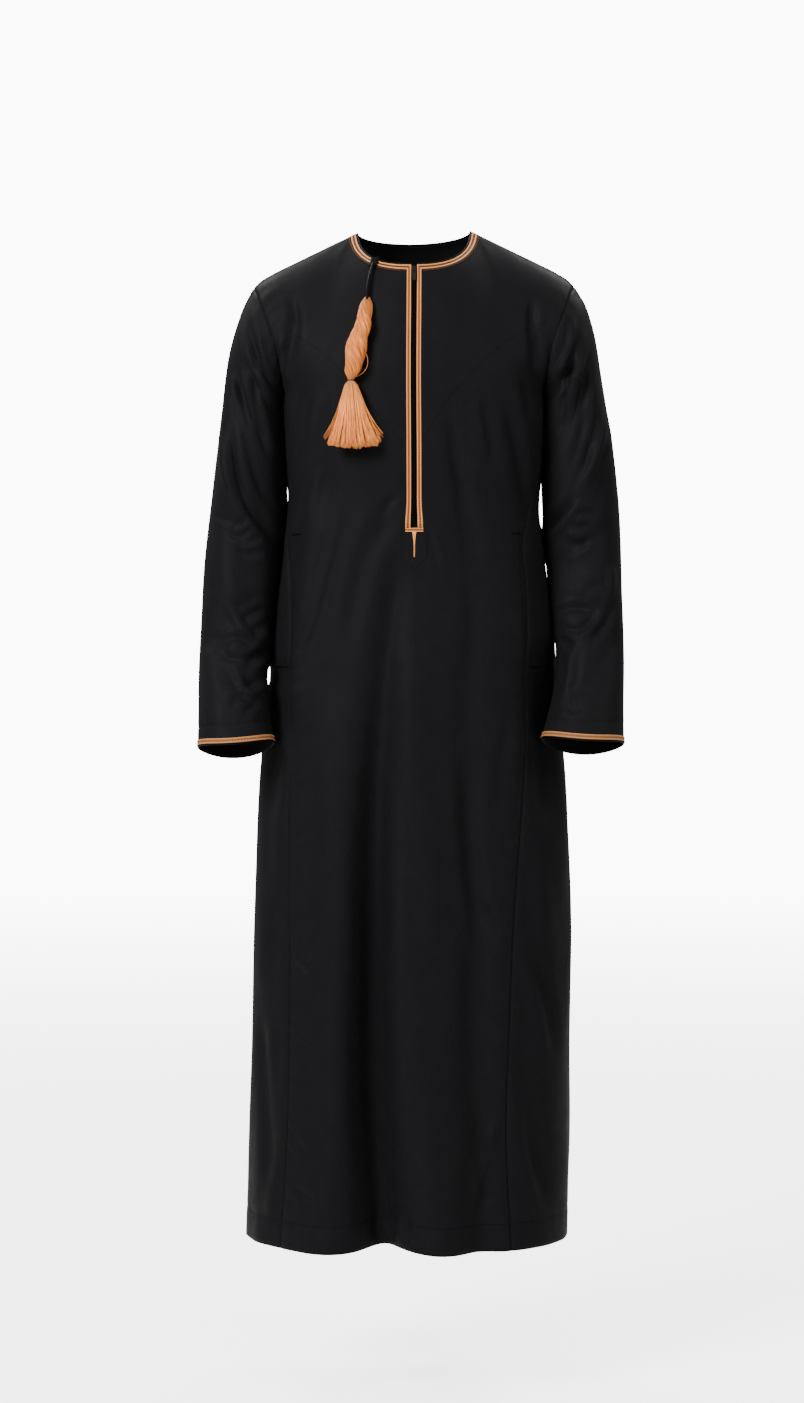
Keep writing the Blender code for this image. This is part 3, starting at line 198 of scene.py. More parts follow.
# Deep folds: start and end drop, tape place at the start, middle and end, depth and width at start and end
FRONT_FOLDS = (
    (0.440, 1.600, -0.018, -0.058, -0.038, -0.007, -0.050, 0.016, 0.034),
    (0.620, 1.600, -0.110, -0.105, -0.112, 0.003, 0.014, 0.030, 0.046),
    (0.560, 1.600, -0.004, 0.020, 0.045, 0.004, 0.012, 0.020, 0.034),
    (0.560, 1.500, 0.070, 0.084, 0.100, -0.005, -0.014, 0.018, 0.028),
    (0.230, 0.430, -0.110, -0.118, -0.126, -0.004, -0.004, 0.012, 0.016),
    (0.330, 0.700, -0.136, -0.155, -0.176, 0.005, 0.005, 0.014, 0.018),
    (0.240, 0.620, 0.046, 0.068, 0.084, -0.004, -0.006, 0.012, 0.016),
    (0.225, 0.340, 0.088, 0.100, 0.112, -0.004, -0.003, 0.011, 0.012),
    (0.225, 0.420, 0.126, 0.150, 0.170, -0.005, -0.003, 0.012, 0.013),
    (0.100, 0.220, -0.176, -0.190, -0.200, -0.005, -0.004, 0.012, 0.014),
    (0.100, 0.220, 0.176, 0.190, 0.200, -0.005, -0.004, 0.012, 0.014),
    (0.960, 1.090, 0.170, 0.190, 0.215, -0.005, -0.004, 0.012, 0.014),
    (1.070, 1.330, 0.142, 0.170, 0.205, -0.007, -0.006, 0.014, 0.018),
    (1.060, 1.330, -0.235, -0.222, -0.200, -0.006, -0.006, 0.013, 0.016),
    (0.560, 0.840, -0.222, -0.215, -0.222, -0.010, -0.006, 0.034, 0.030),
    (0.560, 0.840, 0.205, 0.196, 0.205, -0.016, -0.008, 0.036, 0.030),
)
BACK_FOLDS = (
    (0.420, 1.600, 0.020, 0.052, 0.046, -0.006, -0.036, 0.016, 0.032),
    (0.560, 1.600, -0.070, -0.088, -0.094, -0.004, -0.022, 0.018, 0.028),
    (0.560, 1.600, -0.016, -0.026, -0.030, 0.003, 0.010, 0.020, 0.030),
    (0.620, 1.600, 0.110, 0.126, 0.134, 0.003, 0.010, 0.024, 0.034),
    (0.235, 0.460, 0.110, 0.086, 0.070, -0.005, -0.004, 0.012, 0.015),
    (0.235, 0.470, -0.120, -0.092, -0.066, -0.005, -0.004, 0.012, 0.015),
    (0.360, 0.560, -0.140, -0.120, -0.112, 0.004, 0.004, 0.014, 0.018),
    (1.030, 1.330, -0.150, -0.174, -0.200, -0.006, -0.006, 0.013, 0.017),
)
FOLD_FADE = 0.07
HEM_LIFT, HEM_LIFT_TAPE, HEM_LIFT_SPREAD = 0.007, -0.024, 0.042
NECK_HALF_WIDTH = 0.0785
NECK_FRONT_Y, NECK_FRONT_DROP = -0.080, 0.058
NECK_BACK_Y, NECK_BACK_DROP = 0.069, 0.008
NECK_SIDE_DROP, NECK_DIP = 0.003, 1.3
SHOULDER_COLUMNS = "share x drop"
SHOULDER_LINE = (
    (0.0, 0.0785, 0.0030),
    (0.2, 0.1070, 0.0165),
    (0.4, 0.1370, 0.0310),
    (0.6, 0.1670, 0.0455),
    (0.8, 0.1960, 0.0600),
    (0.92, 0.2130, 0.0705),
    (1.0, 0.2210, 0.0790),
)
SHOULDER_LIFT_LEFT = 0.0025
ARMHOLE_COLUMNS = "share x front_y back_y drop"
ARMHOLE = (
    (0.00, 0.1780, 0.000, 0.000, 0.2310),
    (0.10, 0.1772, -0.021, 0.021, 0.2290),
    (0.28, 0.1800, -0.046, 0.040, 0.2080),
    (0.50, 0.1885, -0.062, 0.050, 0.1690),
    (0.75, 0.2045, -0.050, 0.042, 0.1200),
    (0.90, 0.2155, -0.024, 0.023, 0.0900),
    (1.00, 0.2210, 0.000, 0.000, 0.0790),
)
PANEL_SHARE = 0.10
CHEST_RISE = 0.078
SEAM_HALF = 0.00006
SLIT_HALF = 0.0038
SLIT_BOTTOM = 0.4165
BRAID_EDGE = 0.0100
NECK_TURNS_FRONT = (0.0, 2.775, 7.318, 22.0, 38.0, 55.0, 72.0, 90.0)
NECK_TURNS_BACK = (0.0, 24.0, 48.0, 70.0, 90.0)
SHOULDER_SHARES = (0.18, 0.40, 0.62, 0.83, 1.0)
POCKET_TOP, POCKET_BOTTOM, POCKET_GAPE = 0.417, 0.603, 0.0024
TURNS = np.linspace(-math.pi, math.pi, 721)


def read_column(names, table, wanted):
    """One named column of a table."""
    place = names.split().index(wanted)
    return np.array([row[place] for row in table])


def curve_through(keys, values, at):
    """Cubic Hermite curve through values at the keys; slopes are the neighbours' differences."""
    keys, values = np.asarray(keys, float), np.asarray(values, float)
    at = np.clip(np.asarray(at, float), keys[0], keys[-1])
    slopes = np.gradient(values, keys, axis=0)
    low = np.clip(np.searchsorted(keys, at, side="right") - 1, 0, len(keys) - 2)
    step = keys[low + 1] - keys[low]
    t = (at - keys[low]) / step
    if values.ndim == 2:
        t, step = t[..., None], step[..., None]
    start = (1 + 2 * t) * (1 - t) ** 2 * values[low] + t * (1 - t) ** 2 * step * slopes[low]
    return start + t * t * (3 - 2 * t) * values[low + 1] + t * t * (t - 1) * step * slopes[low + 1]


def from_table(names, table, key, wanted, at):
    """A table's column read smoothly at a value of its key column."""
    return curve_through(read_column(names, table, key), read_column(names, table, wanted), at)


def soft_step(value):
    """3v^2 - 2v^3: rises smoothly from 0 to 1 while the value goes from 0 to 1."""
    value = np.clip(value, 0.0, 1.0)
    return value * value * (3 - 2 * value)


def run_length(points):
    """Length run along lines of points, from 0 at their first point; the first axis runs along them."""
    step = np.linalg.norm(np.diff(points, axis=0), axis=-1)
    return np.concatenate((np.zeros((1,) + step.shape[1:]), np.cumsum(step, axis=0)))


def section(drop):
    """Level line round the body: a super-ellipse |x/a|^n + |y/b|^n = 1 with its own depth front and back."""
    width, front, back, centre, roundness = (
        from_table(BODY_COLUMNS, BODY_SECTIONS, "drop", name, drop)
        for name in ("half_width", "front", "back", "centre", "roundness"))
    sine, cosine = np.sin(TURNS), np.cos(TURNS)
    x = centre + (width - CLOTH) * np.sign(sine) * np.abs(sine) ** (2 / roundness)
    depth = np.where(cosine > 0, front, back) - CLOTH
    y = -depth * np.sign(cosine) * np.abs(cosine) ** (2 / roundness)
    tape = np.concatenate(([0.0], np.cumsum(np.hypot(np.diff(x), np.diff(y)))))
    tape -= np.interp(0.0, TURNS, tape)
    along_x, along_y = np.gradient(x, tape), np.gradient(y, tape)
    size = np.hypot(along_x, along_y)
    return tape, x, y, along_y / size, -along_x / size


def fold_push(tape_place, drop, half_right, half_left):
    """Sum of the deep folds: each is a bell exp(-(distance/width)^2) across its line, faded at both ends."""
    tape_place, drop = np.broadcast_arrays(np.asarray(tape_place, float), np.asarray(drop, float))
    back_place = np.where(tape_place >= 0, half_left - tape_place, -half_right - tape_place)
    total = np.zeros(tape_place.shape)
    for table, place in ((FRONT_FOLDS, tape_place), (BACK_FOLDS, back_place)):
        for start, end, tape_a, tape_b, tape_c, depth_a, depth_b, spread_a, spread_b in table:
            run = (drop - start) / (min(end, HEM) - start)
            centre = (tape_a * (1 - run) * (1 - 2 * run) + 4 * tape_b * run * (1 - run)
                      + tape_c * run * (2 * run - 1))
            fade = min(FOLD_FADE, (min(end, HEM) - start) / 2.5)
            strength = soft_step((drop - start) / fade) * soft_step((end - drop) / fade)
            depth = depth_a + (depth_b - depth_a) * run
            spread = np.maximum(spread_a + (spread_b - spread_a) * run, 0.004)
            total += strength * depth * np.exp(-((place - centre) / spread) ** 2)
    return total


def body_row(tape_place, drop):
    """Points of one level of the body at the given tape places, deep folds and hem lift included."""
    tape, x, y, out_x, out_y = section(drop)
    push = fold_push(tape_place, drop, -tape[0], tape[-1])
    lift = HEM_LIFT * np.exp(-((tape_place - HEM_LIFT_TAPE) / HEM_LIFT_SPREAD) ** 2)
    lift = lift * soft_step((drop - HEM + 0.12) / 0.12)
    return np.column_stack((np.interp(tape_place, tape, x) + push * np.interp(tape_place, tape, out_x),
                            np.interp(tape_place, tape, y) + push * np.interp(tape_place, tape, out_y),
                            lift - drop))


def seam_tape(drop, which, side):
    """Tape place of a panel seam at one drop."""
    tape, x, y, _, _ = section(drop)
    wanted = side * from_table(SEAM_COLUMNS, SEAMS, "drop", which, drop)
    wanted = np.clip(wanted, x.min() + 0.0002, x.max() - 0.0002)
    half = ((y <= 0) if which != "back" else (y >= 0)) & ((x > 0) if side > 0 else (x < 0))
    order = np.argsort(x[half])
    return float(np.interp(wanted, x[half][order], tape[half][order]))


def neck_point(turn_degrees, side, front=True):
    """Place on the neck edge at turns from the middle of the front or back."""
    turn = np.radians(turn_degrees)
    dip = 1 - (1 - np.cos(turn)) ** NECK_DIP
    end_drop, end_y = (NECK_FRONT_DROP, NECK_FRONT_Y) if front else (NECK_BACK_DROP, NECK_BACK_Y)
    drop = NECK_SIDE_DROP + (end_drop - NECK_SIDE_DROP) * dip
    lift = SHOULDER_LIFT_LEFT * np.sin(turn) if side > 0 else 0.0
    return np.stack((side * NECK_HALF_WIDTH * np.sin(turn), end_y * np.cos(turn), lift - drop), axis=-1)


def shoulder_point(share, side):
    """Place on the shoulder line, from the neck (0) to the shoulder point (1)."""
    x = from_table(SHOULDER_COLUMNS, SHOULDER_LINE, "share", "x", share)
    drop = from_table(SHOULDER_COLUMNS, SHOULDER_LINE, "share", "drop", share)
    return np.stack((side * x, 0.0 * x, (SHOULDER_LIFT_LEFT if side > 0 else 0.0) - drop), axis=-1)


def armhole_point(share, side, front=True):
    """Place on the armhole edge, shares from under the arm up to the shoulder."""
    x, y, drop = (from_table(ARMHOLE_COLUMNS, ARMHOLE, "share", name, share)
                  for name in ("x", "front_y" if front else "back_y", "drop"))
    return np.stack((side * x, y, (SHOULDER_LIFT_LEFT if side > 0 else 0.0) * share - drop), axis=-1)


def upper_half(front, side, places, feet, shares):
    """Half a panel above the underarm: cubic arcs from the feet up to the neck and shoulder edge."""
    turns = NECK_TURNS_FRONT if front else NECK_TURNS_BACK
    corner, last = len(turns) - 1, len(turns) + len(SHOULDER_SHARES) - 1
    at_neck = places <= corner
    turn = np.interp(places, range(len(turns)), turns)
    share = np.interp(places, range(corner, last + 1), (0.0,) + SHOULDER_SHARES)
    top = np.where(at_neck[:, None], neck_point(turn, side, front), shoulder_point(share, side))
    top[:, 1] += np.where(places >= corner, -SEAM_HALF if front else SEAM_HALF, 0.0)
    steep = (66.0 if front else 42.0) * (1 - turn / 90) + 26.0 * turn / 90
    steep = np.radians(np.where(at_neck, steep, 26.0 - 18.0 * share))
    aside = np.where(at_neck, 52.0 * turn / 90, 52.0 * (1 - share) ** 2 + 4.0 * soft_step(share / 0.2))
    aside = np.radians(aside)
    reach = np.interp(places, (0, corner, corner + 1, last),
                      (0.050, 0.050, 0.0518, 0.060) if front else (0.046, 0.046, 0.0638, 0.072))
    forward = -1.0 if front else 1.0
    direction = np.stack((side * np.sin(aside) * np.cos(steep), forward * np.cos(aside) * np.cos(steep),
                          -np.sin(steep)), axis=-1)
    t = np.linspace(0.0, 1.0, 81)[:, None, None]
    arc = ((1 - t) ** 3 * feet + 3 * (1 - t) ** 2 * t * (feet + np.array((0.0, 0.0, CHEST_RISE)))
           + 3 * (1 - t) * t ** 2 * (top + direction * reach[:, None]) + t ** 3 * top)
    run = run_length(arc)
    grid = np.stack([[np.interp(shares, run[:, j] / run[-1, j], arc[:, j, k]) for j in range(len(places))]
                     for k in range(3)], axis=-1).transpose(1, 0, 2)
    edge = armhole_point(PANEL_SHARE + (1 - PANEL_SHARE) * shares, side, front)
    edge = edge + (feet[-1] - edge[-1]) * (1 - shares)[:, None] ** 4
    weight = np.clip((places - corner) / (last - corner), 0.0, 1.0) ** 1.7
    return grid + (edge - grid[:, -1])[:, None, :] * weight[None, :, None]


LOWER_FINE = np.concatenate((np.arange(UNDERARM, SLIT_BOTTOM - 0.003, 0.0042), [SLIT_BOTTOM],
                             np.arange(SLIT_BOTTOM + 0.0042, HEM - 0.003, 0.0042), [HEM]))
UPPER_FINE = np.linspace(1.0, 0.0, 48)[:-1]


def pocket_gape(drop, outward):
    """How far a pocket mouth stands open: a half sine between its two ends."""
    run = (drop - POCKET_TOP) / (POCKET_BOTTOM - POCKET_TOP)
    return outward * POCKET_GAPE * float(np.sin(np.pi * np.clip(run, 0, 1)))


def robe_panel(front):
    """The whole front or back as one grid: rows from neck to hem, columns round the body anticlockwise."""
    turns = NECK_TURNS_FRONT if front else NECK_TURNS_BACK
    last = len(turns) + len(SHOULDER_SHARES) - 1
    fixed = (0.0, SLIT_HALF, BRAID_EDGE) if front else (0.0,)
    if front:
        places = np.concatenate(([0.0, 0.5, 1.0, 1.5, 2.0], np.linspace(2, last, 49)[1:]))
    else:
        places = np.linspace(0, last, 49)
    halves = []
    for side in (-1, 1):
        lower = []
        which = "back" if not front else ("front_right" if side < 0 else "front_left")
        for drop in LOWER_FINE:
            tape = section(drop)[0]
            seam = abs(seam_tape(drop, which, side))
            edge = (seam if front else (tape[-1] if side > 0 else -tape[0]) - seam) - SEAM_HALF
            known = list(fixed) + [fixed[-1] + (edge - fixed[-1]) * (k + 1) / (last + 1 - len(fixed))
                                   for k in range(last + 1 - len(fixed))]
            out = np.interp(places, range(last + 1), known)
            row_places = side * out if front else (tape[-1] - out if side > 0 else tape[0] + out)
            row = body_row(row_places, drop)
            row[-1] += pocket_gape(drop, 1.0 if front else 0.0) * np.array((side * 0.7, -0.7, 0.0))
            if drop == UNDERARM:
                feet, foot_places = row, row_places
            lower.append(row)
        upper = upper_half(front, side, places, feet, UPPER_FINE)
        tape, _, _, out_x, out_y = section(UNDERARM)
        fade = (1 - (places / last) ** 10)[None, :] * (1 - UPPER_FINE ** 6)[:, None]
        push = fold_push(foot_places[None, :], -upper[:, :, 2], -tape[0], tape[-1]) * fade
        upper[:, :, 0] += push * np.interp(foot_places, tape, out_x)
        upper[:, :, 1] += push * np.interp(foot_places, tape, out_y)
        halves.append(np.concatenate((upper, np.array(lower))))
    right, left = halves
    if front:
        return np.concatenate((right[:, :0:-1], left), axis=1)
    return np.concatenate((left[:, :0:-1], right), axis=1)


def grid_normals(grid, round_it=False):
    """Outward unit normals: cross product of the differences down and across the grid."""
    down = np.gradient(grid, axis=0)
    across = ((np.roll(grid, -1, axis=1) - np.roll(grid, 1, axis=1)) / 2 if round_it
              else np.gradient(grid, axis=1))
    normal = np.cross(down, across)
    return normal / np.maximum(np.linalg.norm(normal, axis=2, keepdims=True), 1e-12)


# Creases of the front in millimetres, as seen from the front: how far each stands out (+) or in (-), its half
# width, and the (x, drop) points along it. The cloth falls from the chest and is drawn in beside the sleeves
FRONT_CREASES = (
    (-2.6, 7.5, (-159, 213), (-157, 249), (-155, 292)),
    (-1.8, 6, (-141, 222), (-145, 260), (-149, 300)),
    (2, 7, (-126, 222), (-133, 267), (-141, 314)),
    (2, 8.5, (-109, 229), (-113, 287), (-122, 353)),
    (2.6, 5.5, (-180, 150), (-179, 185), (-174, 226)),
    (-3.6, 6.5, (-166, 92), (-164, 118), (-164, 142)),
    (-3, 7, (-154, 103), (-164, 146), (-171, 190)),
    (-2.8, 10, (40, 221), (52, 304), (79, 424), (101, 560)),
    (2.4, 8, (76, 216), (86, 284), (92, 352)),
    (-2.8, 9, (113, 212), (128, 280), (139, 332), (150, 378)),
    (-2.4, 6.5, (148, 199), (154, 240), (157, 278)),
    (-3.6, 6, (163, 92), (162, 118), (161, 142)),
    (-3.4, 7, (155, 98), (163, 147), (169, 199)),
    (2.2, 6, (176, 150), (176, 183), (172, 215)),
    (-3, 12, (-22, 350), (-39, 407), (-63, 452), (-84, 536), (-100, 621)),
    (3, 13, (-106, 349), (-134, 461), (-152, 560)),
    (-4.4, 11, (60, 690), (69, 771), (75, 854), (89, 950), (104, 1020)),
    (-3.4, 7, (85, 915), (104, 944), (120, 965)),
    (-3.6, 9, (84, 1215), (93, 1262), (94, 1307), (84, 1345)),
    (3.4, 10, (112, 1195), (97, 1253), (69, 1345)),
    (3.4, 15, (-12, 803), (-17, 957), (-11, 1131), (-14, 1320)),
    (3, 18, (-100, 780), (-97, 997), (-102, 1185), (-97, 1360)),
    (-2.6, 13, (-132, 709), (-137, 850), (-138, 1017)),
    (-2.8, 14, (21, 897), (29, 1051), (34, 1212), (40, 1340)),
    (-2.2, 9, (126, 640), (118, 735), (112, 830)),
    (0.8, 10, (-62, 120), (-92, 165), (-120, 240)),
    (-0.7, 9, (52, 118), (84, 160), (104, 215)),
    (2.4, 5.4, (-93, 379), (-106, 425), (-122, 486), (-137, 542), (-154, 583), (-165, 622)),
    (1.8, 5.2, (-122, 321), (-134, 365), (-143, 408)),
    (-2.4, 5.2, (-45, 405), (-34, 384), (-19, 371)),
    (-1.6, 5.2, (17, 419), (25, 446), (36, 482)),
    (-2.2, 5, (-167, 991), (-149, 1003), (-129, 1022)),
    (-2.2, 5, (-167, 1298), (-148, 1307), (-125, 1319)),
    (-2, 5, (-167, 959), (-152, 945), (-136, 937)),
    (-2, 5, (-167, 1089), (-149, 1101), (-133, 1109)),
    (-1.8, 5, (-167, 1137), (-152, 1137), (-137, 1128)),
    (-2, 5, (-167, 845), (-152, 832), (-137, 813)),
    (-1.8, 5, (-167, 1233), (-152, 1246), (-141, 1262)),
    (1.8, 4.5, (115, 1197), (98, 1249), (91, 1299)),
    (-2, 4.5, (-50, 1327), (-51, 1374)),
    (1.8, 4.5, (-39, 1328), (-40, 1376)),
    (-1.8, 4.5, (-30, 1328), (-28, 1376)),
    (1.8, 4.5, (-19, 1328), (-18, 1376)),
    (-1.8, 4.5, (-9, 1328), (-7, 1376)),
    (1.4, 4.5, (2, 1330), (3, 1376)),
)


def fold_floor(fold, first, last):
    """The line along the floor of a deep fold of the front, as (x, drop) points in millimetres."""
    drops = np.linspace(first, last, 9)
    run = (drops - fold[0]) / (HEM - fold[0])
    tape = fold[2] * (1 - run) * (1 - 2 * run) + 4 * fold[3] * run * (1 - run) + fold[4] * run * (2 * run - 1)
    line = [(1000 * float(body_row(np.array([place]), drop)[0, 0]), 1000 * float(drop))
            for place, drop in zip(tape, drops)]
    return line + [(line[-1][0], 1750)]


def crease_push(table, across, drop):
    """Sum of creases: across each line a trough or ridge exp(-(r/w)^2) with low shoulders of the opposite
    sense at 1.9 w, and along it a soft start and end."""
    total = np.zeros(across.shape)
    for depth, width, *line in table:
        depth, width, line = depth / 1000, width / 1000, np.array(line, float) / 1000
        path = curve_through(range(len(line)), line, np.linspace(0, len(line) - 1, 12 * (len(line) - 1) + 1))
        reach = 4.5 * width
        near = ((across > path[:, 0].min() - reach) & (across < path[:, 0].max() + reach)
                & (drop > path[:, 1].min() - reach) & (drop < path[:, 1].max() + reach))
        if not near.any():
            continue
        point = np.stack((across[near], drop[near]), axis=-1)
        start, step = path[:-1], np.diff(path, axis=0)
        share = (((point[:, None] - start) * step).sum(-1) / (step ** 2).sum(-1)).clip(0, 1)
        apart = np.linalg.norm(point[:, None] - start - share[..., None] * step, axis=-1)
        best = apart.argmin(axis=1)
        radius = apart[np.arange(len(best)), best] / width
        along = (best + share[np.arange(len(best)), best]) / len(step)
        taper = soft_step(along / 0.35) * soft_step((1 - along) / 0.35)
        shape = np.exp(-radius ** 2) - 0.35 * np.exp(-((radius - 1.9) / 0.8) ** 2)
        total[near] += depth * taper * shape
    return total


def unevenness(u, v, size):
    """Slow waves of hanging cloth: a sum of sines of unlike lengths, with fixed phases."""
    return size * (np.sin(u * 71 + 1.3 + 2.0 * np.sin(v * 6.1)) * np.sin(v * 9.7 + 0.4)
                   + 0.6 * np.sin(u * 118 + 4.1 + 1.5 * np.sin(v * 9.3 + 1.0)) * np.sin(v * 15.1 + 2.2)
                   + 0.5 * np.sin(u * 37 + v * 23 + 0.7))


def measured(grid, middle=None):
    """Metres across and down the cloth at each point of a grid, for its weave and stitches."""
    u, v = run_length(grid.transpose(1, 0, 2)).T, run_length(grid)
    return (u - u[:, [middle]] if middle is not None else u), v


def new_piece(name, points, faces, finish, uv=None, layer="cloth"):
    """A smooth mesh piece of the garment, with the UV of each face corner in the named layer."""
    mesh = bpy.data.meshes.new(name)
    mesh.from_pydata(np.reshape(points, (-1, 3)), [], faces)
    if uv is not None:
        mesh.uv_layers.new(name=layer).data.foreach_set("uv", np.ravel(uv))
    mesh.materials.append(finish)
    mesh.polygons.foreach_set("use_smooth", [True] * len(mesh.polygons))
    made = bpy.data.objects.new(name, mesh)
    bpy.context.collection.objects.link(made)
    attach(made, "garment")
    return made


def cloth_shell(name, grid, finish, thick=0.0010, round_it=False, holes=None):
    """A grid made a closed thin shell: its points are the inner side, and Solidify works outwards."""
    rows, columns = grid.shape[:2]
    row, column = np.meshgrid(np.arange(rows - 1), np.arange(columns - (not round_it)), indexing="ij")
    keep = np.ones(row.shape, bool) if holes is None else ~holes(row, column)
    row, column = row[keep], column[keep]
    corners_i = np.stack((row, row + 1, row + 1, row), axis=1)
    corners_j = np.stack((column, column, column + 1, column + 1), axis=1)
    wide = np.concatenate((grid, grid[:, :1]), axis=1) if round_it else grid
    u, v = measured(wide, None if round_it else (columns - 1) // 2)
    made = new_piece(name, grid, (corners_i * columns + corners_j % columns).tolist(), finish,
                     np.stack((u[corners_i, corners_j], v[corners_i, corners_j]), axis=-1))
    made.data.validate()
    wall = made.modifiers.new("thickness", "SOLIDIFY")
    wall.thickness = thick
    wall.offset = 1.0
    wall.use_even_offset = False
    return made


def woven_group():
    """Shader group of close-woven cloth: height = sin of the twill line plus sin of the warp. A slow noise and
    one drawn out along the warp make the mottling of its colour and roughness."""
    tree = bpy.data.node_groups.new("woven cloth", "ShaderNodeTree")
    for name, in_out, kind, value in (
            ("UV", "INPUT", "Vector", None), ("Color", "INPUT", "Color", (0.5, 0.5, 0.5, 1.0)),
            ("Threads", "INPUT", "Float", 1500.0), ("Mottle", "INPUT", "Float", 0.15),
            ("Color", "OUTPUT", "Color", None), ("Height", "OUTPUT", "Float", None),
            ("Roughness", "OUTPUT", "Float", None)):
        made = tree.interface.new_socket(name=name, in_out=in_out, socket_type="NodeSocket" + kind)
        if value is not None:
            made.default_value = value
    given = tree.nodes.new("NodeGroupInput").outputs
    split = wire(tree, "ShaderNodeSeparateXYZ", ((0, given["UV"]),)).outputs
    warp = reckon(tree, "MULTIPLY", split["X"], given["Threads"])
    weft = reckon(tree, "MULTIPLY", split["Y"], given["Threads"])
    twill = reckon(tree, "SINE", reckon(tree, "ADD", warp, weft))
    weave = reckon(tree, "ADD", twill, reckon(tree, "SINE", warp))
    slow = noise(tree, given["UV"], 38.0, 3.0)
    streak = noise(tree, drawn_out(tree, given["UV"], 420.0, 60.0), 1.0)
    off = reckon(tree, "SUBTRACT", reckon(tree, "ADD", slow, streak), 1.0)
    amount = reckon(tree, "MULTIPLY", off, given["Mottle"])
    share = reckon(tree, "ADD", amount, 1.0)
    tint = wire(tree, "ShaderNodeVectorMath", ((0, given["Color"]), ("Scale", share)), operation="SCALE")
    result = tree.nodes.new("NodeGroupOutput").inputs
    tree.links.new(tint.outputs[0], result["Color"])
    tree.links.new(weave, result["Height"])
    tree.links.new(reckon(tree, "ADD", amount, 0.56), result["Roughness"])
    return tree


WOVEN = woven_group()


def cloth_finish(name, color, threads, bump, mottle, sheen, gloss=0.020):
    """A cloth material: the woven group on the piece's own UV map, with soft sheen at grazing angles."""
    made, tree, shader = blank_finish(name, 0.5, gloss)
    uv, _ = read_uv(tree, "cloth")
    group = wire(tree, "ShaderNodeGroup", (("UV", uv), ("Color", (*color, 1.0)), ("Threads", threads),
                                           ("Mottle", mottle)), node_tree=WOVEN).outputs
    tree.links.new(group["Color"], shader.inputs["Base Color"])
    tree.links.new(group["Roughness"], shader.inputs["Roughness"])
    raise_relief(tree, shader, group["Height"], bump, 0.0001)
    shader.inputs["Sheen Weight"].default_value = sheen
    shader.inputs["Sheen Roughness"].default_value = 0.45
    return made


BLACK_CLOTH = cloth_finish("black_cloth", (0.0046, 0.0046, 0.0051), 5200.0, 0.08, 0.25, 0.004)

front_base = robe_panel(True)
front_middle = (front_base.shape[1] - 1) // 2
front_out = grid_normals(front_base)
front_u, front_v = measured(front_base, front_middle)
slit_row = len(UPPER_FINE) + int(np.argmin(np.abs(LOWER_FINE - SLIT_BOTTOM)))


def relaxed(grid, out, v, edge):
    """How far cloth eases off the line that runs down from the neck's corner: the push towards a running
    average across the columns, kept away from the neck edge, the armhole and the lower part."""
    even = grid.copy()
    for _ in range(60):
        even[:, 1:-1] = (even[:, :-2] + 2 * even[:, 1:-1] + even[:, 2:]) / 4
    push = ((even - grid) * out).sum(axis=2)
    keep = soft_step((v - 0.006) / 0.035) * soft_step((0.30 + grid[:, :, 2]) / 0.08)
    middle = (grid.shape[1] - 1) // 2
    place = np.abs(np.arange(grid.shape[1]) - middle) / middle
    return push * keep * soft_step((place - edge) / 0.12) * soft_step((0.93 - place) / 0.16)


# Where a sleeve lies against the body on each side (-1 right, 1 left): the drop, and how far each of the two
# gives way to the other, in millimetres
ARM_SIDE = {
    -1: ((222, 0), (243, 2.2), (265, 2.7), (340, 2.5), (361, 1.5), (372, 2), (386, 3.6), (430, 3.6),
        (465, 2.4), (505, 2.2), (560, 3.2), (575, 4.2), (598, 4.4), (607, 1.8), (622, 1.2), (632, 3),
        (650, 2.2), (668, 0)),
    1: ((222, 0), (243, 3.2), (265, 3.8), (340, 3.8), (362, 2.4), (385, 1.3), (400, 1.4), (414, 3.4),
        (450, 3.6), (461, 2), (478, 2.2), (490, 3), (540, 3.4), (562, 3.8), (571, 1.2), (588, 0.8),
        (602, 0)),
}


def arm_side_push(grid, out, towards=1.0):
    """The give at each point: the side's table by drop, times the square of its sideways facing."""
    total = np.zeros(grid.shape[:2])
    for side in (-1, 1):
        give = np.interp(-grid[:, :, 2], *np.array(ARM_SIDE[side]).T / 1000)
        facing = np.clip(towards * side * out[:, :, 0], 0, 1)
        total += np.where(grid[:, :, 0] * side > 0, give * facing ** 2, 0.0)
    return total


def seam_dip(grid_u, edge_u, v, phase, ripple):
    """The pull of a seam: a narrow dip at the edge, and puckers that die away over 15 mm from it."""
    apart = np.abs(grid_u - edge_u)
    wave = np.sin(2 * math.pi * v / 0.0255 + phase + 1.4 * np.sin(v * 17 + phase)
                  + 0.8 * np.sin(v * 41 + 2 * phase))
    size = ripple * (0.65 + 0.35 * np.sin(v * 11 + 1.7 * phase))
    return (-0.0006 * np.exp(-(apart / 0.0045) ** 2)
            + size * wave * np.exp(-apart / 0.013) * (1 - np.exp(-apart / 0.004)))


def seam_hold(u):
    """1 on the open cloth and 0 at its side edges, so that folds end 8 mm short of the seams."""
    return soft_step((u - u[:, :1]) / 0.008) * soft_step((u[:, -1:] - u) / 0.008)


def hem_dip(u, v):
    """The pull of the hem's stitching: a shallow groove 36 mm above the edge, with puckers over it."""
    above = v[-1:] - v
    wave = np.sin(2 * math.pi * u / 0.0235 + 1.3 * np.sin(u * 31)) * (0.6 + 0.4 * np.sin(u * 17 + 2))
    return (-0.0006 * np.exp(-((above - 0.0375) / 0.0050) ** 2)
            + 0.0006 * wave * np.exp(-np.abs(above - 0.034) / 0.011) * soft_step(above / 0.012))


